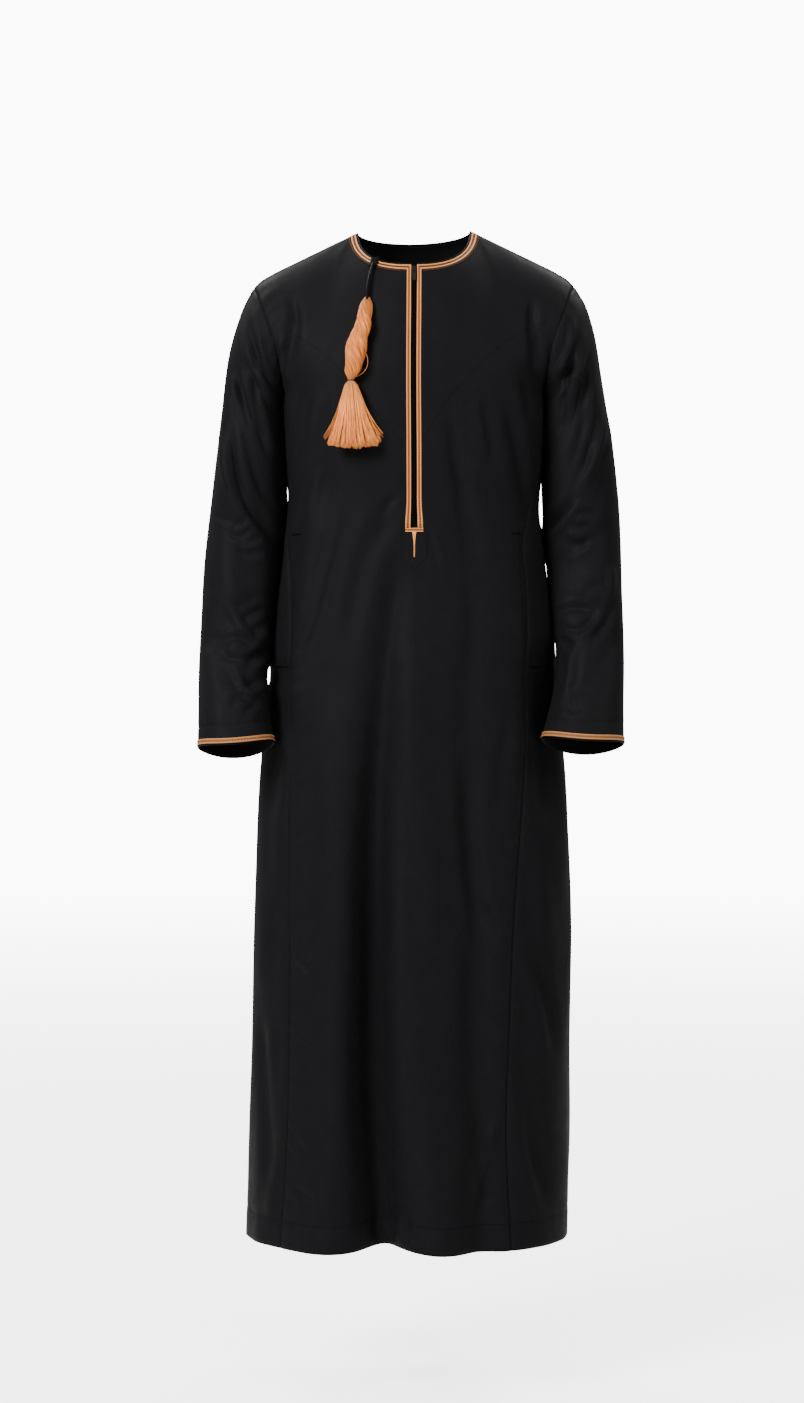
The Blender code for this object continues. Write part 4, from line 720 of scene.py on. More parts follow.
front_push = crease_push(FRONT_CREASES + ((-6.6, 20, *fold_floor(FRONT_FOLDS[0], 0.55, 1.37)),),
                         front_base[:, :, 0], -front_base[:, :, 2]) * soft_step(-1.6 * front_out[:, :, 1])
front_push += unevenness(front_u, front_v, 0.0005) * soft_step(front_v / 0.15)
front_push = (front_push + hem_dip(front_u, front_v)) * seam_hold(front_u)
front_push += seam_dip(front_u, front_u[:, [0]], front_v, 0.6, 0.0016)
front_push += seam_dip(front_u, front_u[:, [-1]], front_v, 2.9, 0.0013)
front_push += arm_side_push(front_base, front_out) + relaxed(front_base, front_out, front_v, 0.18)
front_fade = soft_step((np.abs(front_u) - BRAID_EDGE) / 0.01)
front_fade = np.where((front_v < 0.10 + np.abs(front_u)) | (-front_base[:, :, 2] > 0.47), 1.0, front_fade)
front_fade *= soft_step((front_v - 0.004) / 0.02)
front_grid = front_base + front_out * (front_push * front_fade + 0.0002)[:, :, None]
front_cloth = cloth_shell("front_cloth", front_grid, BLACK_CLOTH, holes=lambda i, j: (i < slit_row) & (
    np.abs(j - front_middle + 0.5) < 2))
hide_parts("front_panel")

# Back: one panel cut like the front but whole, hanging from the shoulder blades. Its creases are the
# maker's own, of the sizes that the front shows, because the back isn't seen in the picture.
BACK_CREASES = (
    (-3.2, 7.5, (-161, 98), (-158, 132), (-160, 176)),
    (-3, 7, (160, 98), (161, 142), (167, 192)),
    (2.4, 6.5, (-171, 150), (-172, 190), (-166, 236)),
    (2.4, 6, (174, 146), (174, 180), (170, 222)),
    (-2.6, 9, (-137, 215), (-124, 290), (-103, 372)),
    (-2.4, 8.5, (141, 210), (121, 282), (106, 345)),
    (2.6, 10, (-80, 190), (-71, 270), (-68, 360)),
    (2.2, 10, (66, 180), (64, 262), (58, 370)),
    (-3, 12, (8, 330), (20, 420), (45, 500), (60, 610)),
    (-2.8, 11, (-20, 400), (-50, 490), (-82, 590)),
    (2.8, 14, (-118, 420), (-131, 520), (-133, 640)),
    (3, 16, (100, 560), (112, 720), (108, 900)),
    (-3.6, 12, (-100, 720), (-92, 860), (-104, 1010), (-110, 1120)),
    (-4, 12, (88, 860), (80, 1010), (94, 1160), (100, 1300)),
    (3.4, 15, (6, 700), (-4, 900), (4, 1100), (-2, 1330)),
    (3, 16, (-62, 860), (-70, 1060), (-60, 1250)),
    (-3, 9, (-122, 1150), (-112, 1240), (-121, 1350)),
    (-2.6, 10, (36, 1120), (30, 1240), (38, 1350)),
)

back_base = robe_panel(False)
back_out = grid_normals(back_base)
back_u, back_v = measured(back_base, (back_base.shape[1] - 1) // 2)
back_push = crease_push(BACK_CREASES, back_base[:, :, 0], -back_base[:, :, 2])
back_push *= soft_step(1.6 * back_out[:, :, 1])
back_push += unevenness(back_u + 0.31, back_v + 0.17, 0.0005) * soft_step(back_v / 0.15)
back_push = (back_push + hem_dip(back_u + 0.4, back_v)) * seam_hold(back_u)
back_push += seam_dip(back_u, back_u[:, [0]], back_v, 4.4, 0.0008)
back_push += seam_dip(back_u, back_u[:, [-1]], back_v, 1.2, 0.0008)
back_push += arm_side_push(back_base, back_out) + relaxed(back_base, back_out, back_v, 0.10)
back_push *= soft_step((back_v - 0.004) / 0.02)
back_grid = back_base + back_out * (back_push + 0.0002)[:, :, None]
back_cloth = cloth_shell("back_cloth", back_grid, BLACK_CLOTH)
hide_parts("back_panel")

# Side panels: a long gore under each arm, from the armhole to the hem, sewn between front and back. Each
# falls in a few long soft folds of its own, and its front edge is the fold of a pocket mouth.
SIDE_CREASES = {
    1: (
        (3.6, 9, (146, 985), (166, 1070), (178, 1160)),
        (-3.4, 8, (158, 975), (176, 1050), (190, 1130)),
        (3.2, 8, (131, 1218), (152, 1288), (168, 1353)),
        (3, 7, (155, 1200), (166, 1252), (176, 1293)),
        (3.4, 11, (158, 820), (172, 921), (182, 986)),
        (-3, 10, (168, 640), (172, 740), (184, 850)),
    ),
    -1: (
        (3.4, 9, (-204, 900), (-207, 987), (-210, 1066)),
        (-3, 7, (-178, 1070), (-182, 1119), (-190, 1174)),
        (3.4, 8, (-179, 1240), (-188, 1308), (-195, 1368)),
        (-3, 10, (-190, 700), (-199, 826), (-202, 914)),
    ),
}
side_grids = {}
for side, word in ((-1, "right"), (1, "left")):
    rows = []
    for drop in LOWER_FINE:
        front_edge = abs(seam_tape(drop, "front_right" if side < 0 else "front_left", side)) + SEAM_HALF
        back_edge = abs(seam_tape(drop, "back", side)) - SEAM_HALF
        row = body_row(side * np.linspace(front_edge, back_edge, 41), drop)
        row[0] -= pocket_gape(drop, 0.7) * np.array((side * 0.7, -0.7, 0.0))
        rows.append(row if side > 0 else row[::-1])
    base = np.array(rows)
    out = grid_normals(base)
    u, v = measured(base)
    push = crease_push(SIDE_CREASES[side], base[:, :, 0], -base[:, :, 2]) * soft_step(-2.2 * out[:, :, 1])
    push += crease_push(BACK_CREASES, -1.12 * base[:, :, 0], -base[:, :, 2]) * soft_step(2.2 * out[:, :, 1])
    push = (push + unevenness(u + 0.5 * side, v + 0.4 * side, 0.0008) + hem_dip(u + side, v)) * seam_hold(u)
    push += seam_dip(u, u[:, [0]], v, 0.9 + side, 0.0005) + seam_dip(u, u[:, [-1]], v, 3.3 + side, 0.0005)
    push = push * soft_step(v / 0.03) + arm_side_push(base, out)
    side_grids[side] = base + out * (push + 0.0002)[:, :, None]
    for edge, beside in ((0, 1), (-1, -2)):
        away = side_grids[side][:, edge] - side_grids[side][:, beside]
        away /= np.linalg.norm(away, axis=1, keepdims=True)
        side_grids[side][:, edge] += 0.0018 * away - 0.0010 * out[:, edge]
    cloth = cloth_shell("side_cloth_" + word, side_grids[side], BLACK_CLOTH)
    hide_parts("side_panel_" + word)

# Sleeves: each is one tapered piece set into its armhole and hanging along the arm, turned a little forward
# at the wrist. It breaks into slanting folds above the elbow and short Z folds below it.
SLEEVE_COLUMNS = "outer_x outer_drop inner_x inner_drop centre_y half_depth lean"
SLEEVE_RIGHT = (
    (0.2214, 0.079, 0.1808, 0.232, -0.001, 0.056, 0.000),
    (0.2363, 0.108, 0.1836, 0.244, 0.000, 0.060, 0.000),
    (0.2488, 0.150, 0.1842, 0.260, 0.001, 0.063, 0.000),
    (0.2580, 0.198, 0.1822, 0.280, 0.002, 0.065, 0.000),
    (0.2650, 0.250, 0.1812, 0.304, 0.003, 0.067, 0.000),
    (0.2715, 0.305, 0.1792, 0.333, 0.004, 0.068, 0.000),
    (0.2790, 0.365, 0.1782, 0.372, 0.004, 0.067, 0.000),
    (0.2850, 0.420, 0.1812, 0.420, 0.002, 0.065, 0.002),
    (0.2893, 0.470, 0.1862, 0.468, -0.003, 0.063, 0.004),
    (0.2920, 0.520, 0.1918, 0.517, -0.012, 0.060, 0.006),
    (0.2935, 0.572, 0.1985, 0.570, -0.025, 0.057, 0.008),
    (0.2935, 0.622, 0.2035, 0.618, -0.043, 0.054, 0.009),
    (0.2930, 0.668, 0.1990, 0.663, -0.062, 0.052, 0.010),
    (0.2925, 0.713, 0.1905, 0.706, -0.080, 0.051, 0.010),
)
SLEEVE_LEFT = (
    (0.2214, 0.077, 0.1808, 0.232, -0.001, 0.056, 0.000),
    (0.2370, 0.106, 0.1836, 0.244, 0.000, 0.060, 0.000),
    (0.2500, 0.148, 0.1842, 0.260, 0.001, 0.063, 0.000),
    (0.2588, 0.197, 0.1822, 0.280, 0.002, 0.065, 0.000),
    (0.2671, 0.250, 0.1816, 0.304, 0.003, 0.067, 0.000),
    (0.2752, 0.305, 0.1806, 0.333, 0.003, 0.068, 0.000),
    (0.2812, 0.365, 0.1802, 0.372, 0.002, 0.066, 0.000),
    (0.2842, 0.420, 0.1824, 0.420, -0.002, 0.064, 0.002),
    (0.2865, 0.470, 0.1865, 0.468, -0.009, 0.061, 0.004),
    (0.2872, 0.520, 0.1918, 0.517, -0.021, 0.058, 0.006),
    (0.2860, 0.572, 0.1962, 0.570, -0.039, 0.055, 0.008),
    (0.2844, 0.622, 0.1930, 0.618, -0.061, 0.053, 0.009),
    (0.2824, 0.665, 0.1845, 0.660, -0.083, 0.052, 0.010),
    (0.2817, 0.7075, 0.1722, 0.701, -0.104, 0.052, 0.010),
)
ARMHOLE_FADE = (1.0, 0.70, 0.42, 0.20, 0.06)
SLEEVE_SAG = 0.8
# Deep folds: start and end share of the sleeve, heading at each (0 front, 90 outside, 180 back), depth and
# spread in degrees
SLEEVE_FOLDS_RIGHT = (
    (0.10, 0.62, 60.0, -55.0, -0.009, 20.0),
    (0.06, 0.40, 28.0, -30.0, -0.005, 14.0),
    (0.10, 0.50, 84.0, 20.0, 0.005, 18.0),
    (0.46, 0.70, 40.0, -35.0, -0.005, 24.0),
    (0.66, 0.80, -25.0, 45.0, -0.006, 26.0),
    (0.74, 0.90, 40.0, -30.0, -0.005, 24.0),
    (0.12, 0.55, 150.0, 235.0, -0.006, 20.0),
    (0.45, 0.75, 225.0, 140.0, -0.006, 24.0),
)
SLEEVE_FOLDS_LEFT = (
    (0.05, 0.34, 20.0, -40.0, -0.008, 15.0),
    (0.08, 0.45, 48.0, -20.0, -0.005, 14.0),
    (0.30, 0.62, 74.0, -45.0, 0.006, 17.0),
    (0.36, 0.66, 58.0, -60.0, -0.007, 17.0),
    (0.50, 0.68, 30.0, -40.0, -0.005, 22.0),
    (0.66, 0.80, -25.0, 40.0, -0.006, 26.0),
    (0.76, 0.92, 40.0, -30.0, -0.005, 24.0),
    (0.12, 0.58, 145.0, 230.0, -0.006, 20.0),
    (0.48, 0.78, 220.0, 140.0, -0.006, 24.0),
)
# Finer creases in millimetres, as seen from the front
SLEEVE_CREASES_RIGHT = (
    (-5, 5.8, (-223, 111), (-223, 143), (-217, 171), (-208, 196), (-195, 213), (-183, 227)),
    (-2.2, 5.8, (-235, 164), (-229, 187), (-218, 212), (-206, 235), (-192, 257), (-180, 280)),
    (-3.4, 5.2, (-246, 187), (-238, 219), (-229, 246), (-221, 274), (-210, 310)),
    (3, 5, (-234, 196), (-225, 230), (-218, 260), (-212, 289)),
    (-3.4, 5.2, (-227, 212), (-220, 239), (-214, 267), (-206, 294), (-195, 325)),
    (-2, 5, (-205, 160), (-198, 182), (-187, 208)),
    (-6.6, 7.8, (-253, 232), (-252, 274), (-250, 310), (-243, 345), (-232, 371), (-215, 398), (-198, 421),
     (-178, 443)),
    (3.4, 5.6, (-263, 278), (-258, 315), (-251, 346), (-240, 372)),
    (-2.2, 5, (-274, 391), (-258, 401), (-237, 402)),
    (-3, 5, (-253, 414), (-239, 409), (-225, 399)),
    (-3.2, 5, (-256, 419), (-238, 424), (-217, 413)),
    (-2.4, 5, (-244, 431), (-226, 432), (-208, 425)),
    (-2.2, 5.5, (-245, 442), (-227, 449), (-204, 447)),
    (3, 5.5, (-255, 510), (-244, 533), (-232, 554), (-215, 574)),
    (-3.4, 5.6, (-237, 540), (-223, 533), (-201, 522)),
    (-3.4, 5.4, (-263, 574), (-248, 565), (-232, 565), (-217, 577)),
    (-2.8, 5, (-264, 582), (-250, 592), (-234, 593), (-221, 586)),
    (3, 6, (-214, 569), (-205, 558), (-194, 544)),
    (-4.4, 6.2, (-232, 611), (-222, 596), (-206, 582), (-194, 567)),
    (3.2, 5.2, (-250, 593), (-240, 612), (-229, 633), (-218, 639), (-206, 630), (-197, 612)),
    (-3, 5.4, (-235, 622), (-225, 630), (-213, 622)),
    (-2.2, 5.2, (-249, 658), (-237, 646), (-221, 647)),
    (-2, 5, (-234, 667), (-223, 662), (-209, 650)),
)
SLEEVE_CREASES_LEFT = (
    (-4.6, 5.4, (209, 111), (209, 141), (205, 167), (195, 190), (184, 212)),
    (3.6, 5.2, (214, 113), (214, 141), (210, 165), (199, 189), (187, 212), (179, 235)),
    (-4, 6, (221, 168), (213, 196), (199, 215), (187, 232), (177, 257)),
    (3.4, 5.6, (233, 132), (232, 164), (226, 193), (217, 220), (209, 248), (202, 278)),
    (-4.2, 6.2, (240, 164), (236, 198), (228, 232), (218, 260), (209, 287), (199, 316)),
    (-2.6, 6.2, (248, 187), (239, 219), (232, 250), (226, 283), (222, 305)),
    (4.4, 5.6, (258, 237), (258, 267), (253, 295), (244, 324), (234, 348), (222, 375)),
    (-2.4, 5.6, (240, 289), (237, 316), (229, 343)),
    (3.6, 5.2, (223, 372), (213, 391), (202, 408), (191, 424), (182, 440)),
    (-5, 7.2, (221, 365), (207, 387), (194, 402), (181, 422)),
    (-2.4, 5, (215, 398), (233, 394), (253, 397)),
    (-2.6, 5, (211, 409), (225, 413), (245, 408)),
    (-3.2, 5.2, (201, 431), (218, 435), (232, 433), (242, 423)),
    (-2.2, 5.2, (206, 449), (225, 442), (242, 431)),
    (-3.2, 5.2, (195, 535), (209, 526), (227, 524), (248, 534)),
    (-3.6, 5.2, (195, 548), (210, 554), (228, 552), (241, 541), (252, 527)),
    (2.8, 5.6, (222, 569), (237, 554), (251, 539), (259, 526)),
    (-2.4, 6.6, (227, 572), (250, 553), (266, 531), (276, 508)),
    (2, 5, (268, 456), (269, 486), (265, 513)),
    (-1.8, 6.6, (224, 505), (241, 496), (257, 493)),
    (3.4, 5.2, (222, 565), (213, 595), (210, 619), (202, 634), (190, 649)),
    (-3.2, 5.8, (194, 556), (206, 569), (220, 577)),
    (-3, 5.6, (206, 626), (195, 637), (184, 647)),
    (-2, 5.4, (202, 647), (213, 662), (226, 651)),
)


def sleeve_rings(side, rows, columns):
    """Rings from armhole to wrist: centre + half width * sin(heading) outwards and half depth * cos(heading)
    forwards, eased into the armhole edge at the top, with the deep folds winding round it."""
    table = SLEEVE_RIGHT if side < 0 else SLEEVE_LEFT
    shares = np.linspace(0.0, 1.0, rows)
    now = {name: from_ring_table(table, name, shares)[:, None] for name in SLEEVE_COLUMNS.split()}
    heading = np.linspace(-90.0, 270.0, columns, endpoint=False)
    sine, cosine = np.sin(np.radians(heading)), np.cos(np.radians(heading))
    x = side * ((now["outer_x"] + now["inner_x"]) / 2 + (now["outer_x"] - now["inner_x"]) / 2 * sine)
    y = now["centre_y"] - now["half_depth"] * cosine
    z = -((now["outer_drop"] + now["inner_drop"]) / 2 + (now["outer_drop"] - now["inner_drop"]) / 2 * sine)
    z = z + now["lean"] * (cosine - SLEEVE_SAG * cosine ** 2)
    grid = np.stack((x, y, z), axis=-1)
    share_round = np.where(heading <= 90.0, heading + 90.0, 270.0 - heading) / 180.0
    edge = np.where((heading <= 90.0)[:, None], armhole_point(share_round, side, True),
                    armhole_point(share_round, side, False))
    edge[:, 0] += side * (0.0007 + 0.0034 * (1 - share_round) ** 2)
    fade = np.interp(shares * (len(table) - 1), range(len(ARMHOLE_FADE) + 1), ARMHOLE_FADE + (0.0,))
    grid += (edge - grid[0])[None] * fade[:, None, None]
    away = grid - grid.mean(axis=1, keepdims=True)
    away /= np.linalg.norm(away, axis=2, keepdims=True)
    push = np.zeros((rows, columns))
    folds = SLEEVE_FOLDS_RIGHT if side < 0 else SLEEVE_FOLDS_LEFT
    for start, end, heading_a, heading_b, depth, spread in folds:
        run = ((shares - start) / (end - start))[:, None]
        apart = (heading[None] - heading_a - (heading_b - heading_a) * run + 180.0) % 360.0 - 180.0
        push += soft_step(run / 0.3) * soft_step((1 - run) / 0.3) * depth * np.exp(-(apart / spread) ** 2)
    grid = grid + away * push[:, :, None]
    return grid if side > 0 else np.roll(grid[:, ::-1], 1, axis=1)


def from_ring_table(table, wanted, shares):
    """A column of a sleeve table read smoothly along the sleeve."""
    values = read_column(SLEEVE_COLUMNS, table, wanted)
    return curve_through(np.linspace(0.0, 1.0, len(table)), values, shares)


sleeve_grids, sleeve_bases = {}, {}
for side, word, creases in ((-1, "right", SLEEVE_CREASES_RIGHT), (1, "left", SLEEVE_CREASES_LEFT)):
    base = sleeve_rings(side, 180, 132)
    out = grid_normals(base, round_it=True)
    u, v = measured(base)
    push = 1.25 * crease_push(creases, base[:, :, 0], -base[:, :, 2]) * soft_step(-1.8 * out[:, :, 1])
    mirrored = SLEEVE_CREASES_LEFT if side < 0 else SLEEVE_CREASES_RIGHT
    push += 0.8 * crease_push(mirrored, -base[:, :, 0], 0.03 - base[:, :, 2]) * soft_step(1.8 * out[:, :, 1])
    turn = np.linspace(0, 2 * math.pi, base.shape[1], endpoint=False)[None]
    push += (0.0007 * np.sin(2 * turn + 9 * v + side) * np.sin(31 * v + 1.0)
             + 0.0005 * np.sin(5 * turn - 24 * v))
    pucker = np.sin(turn * 19 + 1.5 * np.sin(3 * turn)) * np.exp(-v / 0.012) * 0.0005
    cuff = v[-1:] - v
    cuff_dip = -0.0007 * np.exp(-((cuff - 0.0290) / 0.0035) ** 2)
    cuff_pucker = 0.0004 * np.sin(turn * 16 + 2 * np.sin(2 * turn)) * np.exp(-np.abs(cuff - 0.034) / 0.008)
    fade = soft_step(v / 0.03) * soft_step((cuff - 0.010) / 0.02)
    sleeve_bases[side] = base
    sleeve_grids[side] = base + out * (push * fade + pucker * soft_step(v / 0.006) + cuff_dip
                                       + cuff_pucker * soft_step((cuff - 0.012) / 0.01)
                                       + arm_side_push(base, out, -1.0) + 0.0002)[:, :, None]
    sleeve_grids[side][0] -= np.array((0.0026 * side, 0.0, 0.0)) + 0.0009 * out[0]
    cloth = cloth_shell("sleeve_cloth_" + word, sleeve_grids[side], BLACK_CLOTH, round_it=True)
    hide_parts("sleeve_" + word)

# Seams and topstitching: black polyester thread, about 3 stitches to the centimetre, in small capsules half
# sunk in the cloth. They hold the chest facing, the turned hem and cuffs, the pockets and the placket's foot.
STITCH_PITCH, STITCH_LONG, STITCH_THICK = 0.0032, 0.74, 0.00055


def two_tone(tree, value, dark, light, ends=(0.0, 1.0)):
    """The colour of a ramp from dark to light, read at a value."""
    ramp = wire(tree, "ShaderNodeValToRGB", ((0, value),))
    for element, place, color in zip(ramp.color_ramp.elements, ends, (dark, light)):
        element.position = place
        element.color = (*color, 1.0)
    return ramp.outputs["Color"]


thread_finish, tree, shader = blank_finish("black_thread", 0.5, 0.03)
place = wire(tree, "ShaderNodeTexCoord").outputs["Object"]
plies = wire(tree, "ShaderNodeTexWave", (("Vector", place), ("Scale", 900.0), ("Distortion", 2.0)))
tone = two_tone(tree, plies.outputs["Fac"], (0.0003, 0.0003, 0.0004), (0.0018, 0.0018, 0.0021))
tree.links.new(tone, shader.inputs["Base Color"])


def on_cloth(grid, out, x, drop, facing=-1.0):
    """Points of a grid at given x and drop: the nearest grid point plus steps along its two directions that
    make up the difference. Returns places and outward normals."""
    x, drop = np.atleast_1d(x).astype(float), np.atleast_1d(drop).astype(float)
    inner = grid[1:-1, 1:-1].reshape(-1, 3)
    across = (grid[1:-1, 2:] - grid[1:-1, :-2]).reshape(-1, 3) / 2
    down = (grid[2:, 1:-1] - grid[:-2, 1:-1]).reshape(-1, 3) / 2
    normal = out[1:-1, 1:-1].reshape(-1, 3)
    right_way = normal[:, 1] * facing > 0.05
    inner, across, down, normal = inner[right_way], across[right_way], down[right_way], normal[right_way]
    near = ((inner[None, :, 0] - x[:, None]) ** 2 + (inner[None, :, 2] + drop[:, None]) ** 2).argmin(axis=1)
    miss_x, miss_z = x - inner[near, 0], -drop - inner[near, 2]
    a, b = across[near], down[near]
    spread = a[:, 0] * b[:, 2] - b[:, 0] * a[:, 2]
    along_a = np.clip((miss_x * b[:, 2] - b[:, 0] * miss_z) / spread, -1.5, 1.5)
    along_b = np.clip((a[:, 0] * miss_z - miss_x * a[:, 2]) / spread, -1.5, 1.5)
    return inner[near] + along_a[:, None] * a + along_b[:, None] * b, normal[near]


def read_line(at, key, points):
    """Places or normals along a polyline, where its key has these values."""
    return np.stack([np.interp(at, key, points[:, k]) for k in range(3)], axis=1)


def even_steps(points, outs, pitch):
    """Points, directions and normals at equal steps along a polyline."""
    run = run_length(points)
    at = np.arange(pitch / 2, run[-1], pitch)
    along = read_line(at + pitch / 4, run, points) - read_line(at - pitch / 4, run, points)
    normal = read_line(at, run, outs)
    return (read_line(at, run, points), along / np.linalg.norm(along, axis=1, keepdims=True),
            normal / np.linalg.norm(normal, axis=1, keepdims=True))


def capsules(name, place, along, out, length, thick, finish, high=0.8):
    """Many small capsules in one mesh: 3 rings of 5 points and a tip at each end, scaled to length and
    thickness, turned to the along and out directions, and carried to their places."""
    turn = np.linspace(0, 2 * math.pi, 5, endpoint=False)
    rings = [np.column_stack((np.full(5, at), size * np.cos(turn), size * np.sin(turn)))
             for at, size in ((-0.38, 0.72), (0, 1), (0.38, 0.72))]
    template = np.concatenate([[[-0.5, 0, 0]]] + rings + [[[0.5, 0, 0]]])
    faces = []
    for k in range(5):
        n = (k + 1) % 5
        faces += [(0, 1 + n, 1 + k, 1 + k), (1 + k, 1 + n, 6 + n, 6 + k), (6 + k, 6 + n, 11 + n, 11 + k),
                  (11 + k, 11 + n, 16, 16)]
    side = np.cross(out, along)
    size = np.broadcast_to(np.asarray(length, float), (len(place),))
    points = (place[:, None] + along[:, None] * (template[None, :, :1] * size[:, None, None])
              + side[:, None] * template[None, :, 1:2] * thick / 2
              + out[:, None] * (template[None, :, 2:3] * thick / 2 * high))
    faces = (np.array(faces)[None] + np.arange(len(place))[:, None, None] * len(template)).reshape(-1, 4)
    return new_piece(name, points, [tuple(dict.fromkeys(face)) for face in faces.tolist()], finish)


SHELL = 0.0012  # from a cloth's inner side to the stitches on its outer face
front_out = grid_normals(front_grid)
back_out = grid_normals(back_grid)


def sew(name, points, outs, length=STITCH_LONG * STITCH_PITCH, pitch=STITCH_PITCH, across=False):
    """Black stitches at even steps over a line on a cloth's inner side, along the line or square to it."""
    place, along, normal = even_steps(points + outs * SHELL, outs, pitch)
    if across:
        along = np.cross(along, normal)
    capsules(name, place, along, normal, length, STITCH_THICK, thread_finish)


def stitch_line(name, grid, out, line, pitch=STITCH_PITCH, across=None):
    """A row of stitches along a line of (x, drop) points on the outer face of a cloth, or with a length
    across given, a bartack: short stitches laid close together square to the line."""
    line = np.array(line, float)
    path = curve_through(range(len(line)), line, np.linspace(0, len(line) - 1, 20 * (len(line) - 1) + 1))
    points, outs = on_cloth(grid, out, path[:, 0], path[:, 1])
    sew(name, points, outs, across or STITCH_LONG * pitch, pitch, across is not None)


def edge_stitches(name, grid, out, v, height, round_it=False, from_top=False):
    """A row of stitches at one distance from the lower or upper edge of a cloth, following its columns."""
    level = np.full(grid.shape[1], height) if from_top else v[-1] - height
    points = np.concatenate([read_line([level[j]], v[:, j], grid[:, j]) for j in range(grid.shape[1])])
    outs = out[1 if from_top else -1 - int(round(height / 0.0042))]
    if round_it:
        points, outs = np.concatenate((points, points[:1])), np.concatenate((outs, outs[:1]))
    sew(name, points, outs)


def mouth_stitches(name, side, apart=0.006):
    """A row of stitches down the front beside a pocket mouth, at one distance from the panel's edge."""
    rows = np.flatnonzero((-front_base[:, 5, 2] > POCKET_TOP) & (-front_base[:, 5, 2] < POCKET_BOTTOM))
    at = front_u[rows, 0] + apart if side < 0 else front_u[rows, -1] - apart
    points = np.concatenate([read_line([place], front_u[row], front_grid[row])
                             for row, place in zip(rows, at)])
    sew(name, points, front_out[rows, 2 if side < 0 else -3], 0.0024)


side_outs = {side: grid_normals(side_grids[side]) for side in (-1, 1)}
stitch_line("facing_stitches_right", front_grid, front_out,
            ((-0.170, 0.146), (-0.136, 0.170), (-0.106, 0.197), (-0.072, 0.236), (-0.042, 0.274),
             (-0.0125, 0.308)))
stitch_line("facing_stitches_left", front_grid, front_out,
            ((0.178, 0.134), (0.148, 0.147), (0.110, 0.176), (0.074, 0.212), (0.042, 0.250), (0.0125, 0.298)))
stitch_line("placket_foot_stitches", front_grid, front_out,
            ((-0.0165, 0.4240), (-0.0166, 0.4400), (-0.0165, 0.4530), (-0.0164, 0.4568), (-0.0154, 0.4586),
             (-0.0100, 0.4640), (-0.0040, 0.4700), (-0.0008, 0.4733), (0.0, 0.4737), (0.0008, 0.4733),
             (0.0042, 0.4698), (0.0104, 0.4636), (0.0160, 0.4580), (0.0170, 0.4562), (0.0172, 0.4520),
             (0.0172, 0.4400), (0.0172, 0.4240)))
HEM_DEPTH, CUFF_DEPTH = 0.036, 0.029
for name, grid in (("front", front_grid), ("back", back_grid),
                   ("right", side_grids[-1]), ("left", side_grids[1])):
    edge_stitches("hem_stitches_" + name, grid, grid_normals(grid), measured(grid)[1], HEM_DEPTH)
for side, word in ((-1, "right"), (1, "left")):
    grid = sleeve_grids[side]
    edge_stitches("cuff_stitches_" + word, grid, grid_normals(grid, True), measured(grid)[1], CUFF_DEPTH,
                  round_it=True)
half_places = np.concatenate(([0.0, 0.5, 1.0, 1.5, 2.0], np.linspace(2, 12, 49)[1:]))
on_shoulder = np.flatnonzero(half_places >= 7.15)  # the front's columns that end on the shoulder seam
for word, columns in (("right", front_middle - on_shoulder), ("left", front_middle + on_shoulder)):
    for row, height in (("near", 0.0030), ("far", 0.0065)):
        edge_stitches("shoulder_stitches_%s_%s" % (word, row), front_grid[:, columns], front_out[:, columns],
                      front_v[:, columns], height, from_top=True)
mouth_stitches("pocket_stitches_right", -1)
mouth_stitches("pocket_stitches_left", 1)
for name, grid, out, drop, x_first, x_last in (
        ("bartack_right_top", front_grid, front_out, 0.4233, -0.1660, -0.1530),
        ("bartack_right_foot", side_grids[-1], side_outs[-1], 0.6035, -0.1880, -0.1690),
        ("bartack_left_top", front_grid, front_out, 0.4233, 0.1310, 0.1430),
        ("bartack_left_foot", side_grids[1], side_outs[1], 0.6035, 0.1540, 0.1690)):
    stitch_line(name, grid, out, ((x_first, drop), (x_last, drop)), pitch=0.0007, across=0.0024)

# Neck: a black corded binding rolls over the cut edge, and a gold braid lies on the cloth beside it, turned
# down both sides of the slit in one length. Round the neck a comb of brown stitches holds its outer edge.
PLACKET_IN, PLACKET_OUT = 0.0040, 0.0098
NECK_BRAID_IN, NECK_BRAID_OUT = 0.0016, 0.0086
BINDING_RADIUS = 0.0011
neck_turns = np.linspace(7.6, 90.0, 46)
back_turns = np.linspace(90.0, -90.0, 97)[1:-1]
back_left, back_right = back_turns[back_turns > 0], -back_turns[back_turns <= 0]
neck_edge = np.concatenate((neck_point(neck_turns, 1), neck_point(back_left, 1, False),
                            neck_point(back_right, -1, False), neck_point(neck_turns[::-1], -1)))
cloth_points = np.concatenate((front_base[:12].reshape(-1, 3), back_base[:12].reshape(-1, 3)))
cloth_outs = np.concatenate([grid_normals(base)[:12].reshape(-1, 3) for base in (front_base, back_base)])


def soft_normal(points, reach):
    """Outward normals at places near the cloth: neighbours' normals weighted by exp(-(distance/reach)^2)."""
    apart = ((points[:, None] - cloth_points[None]) ** 2).sum(-1)
    weight = np.exp(-apart / reach ** 2) + 1e-12 * np.exp(-apart / (16 * reach ** 2))
    normal = (weight[..., None] * cloth_outs[None]).sum(1)
    return normal / np.linalg.norm(normal, axis=1, keepdims=True)


def laid_on(points, reach=0.005):
    """Places moved onto the cloth's inner grid along its softened normal."""
    normal = soft_normal(points, reach)
    apart = ((points[:, None] - cloth_points[None]) ** 2).sum(-1)
    weight = np.exp(-apart / 0.0035 ** 2) + 1e-9 * np.exp(-apart / 0.014 ** 2)
    height = ((points[:, None] - cloth_points[None]) * normal[:, None]).sum(-1)
    return points - normal * ((weight * height).sum(1) / weight.sum(1))[:, None], normal


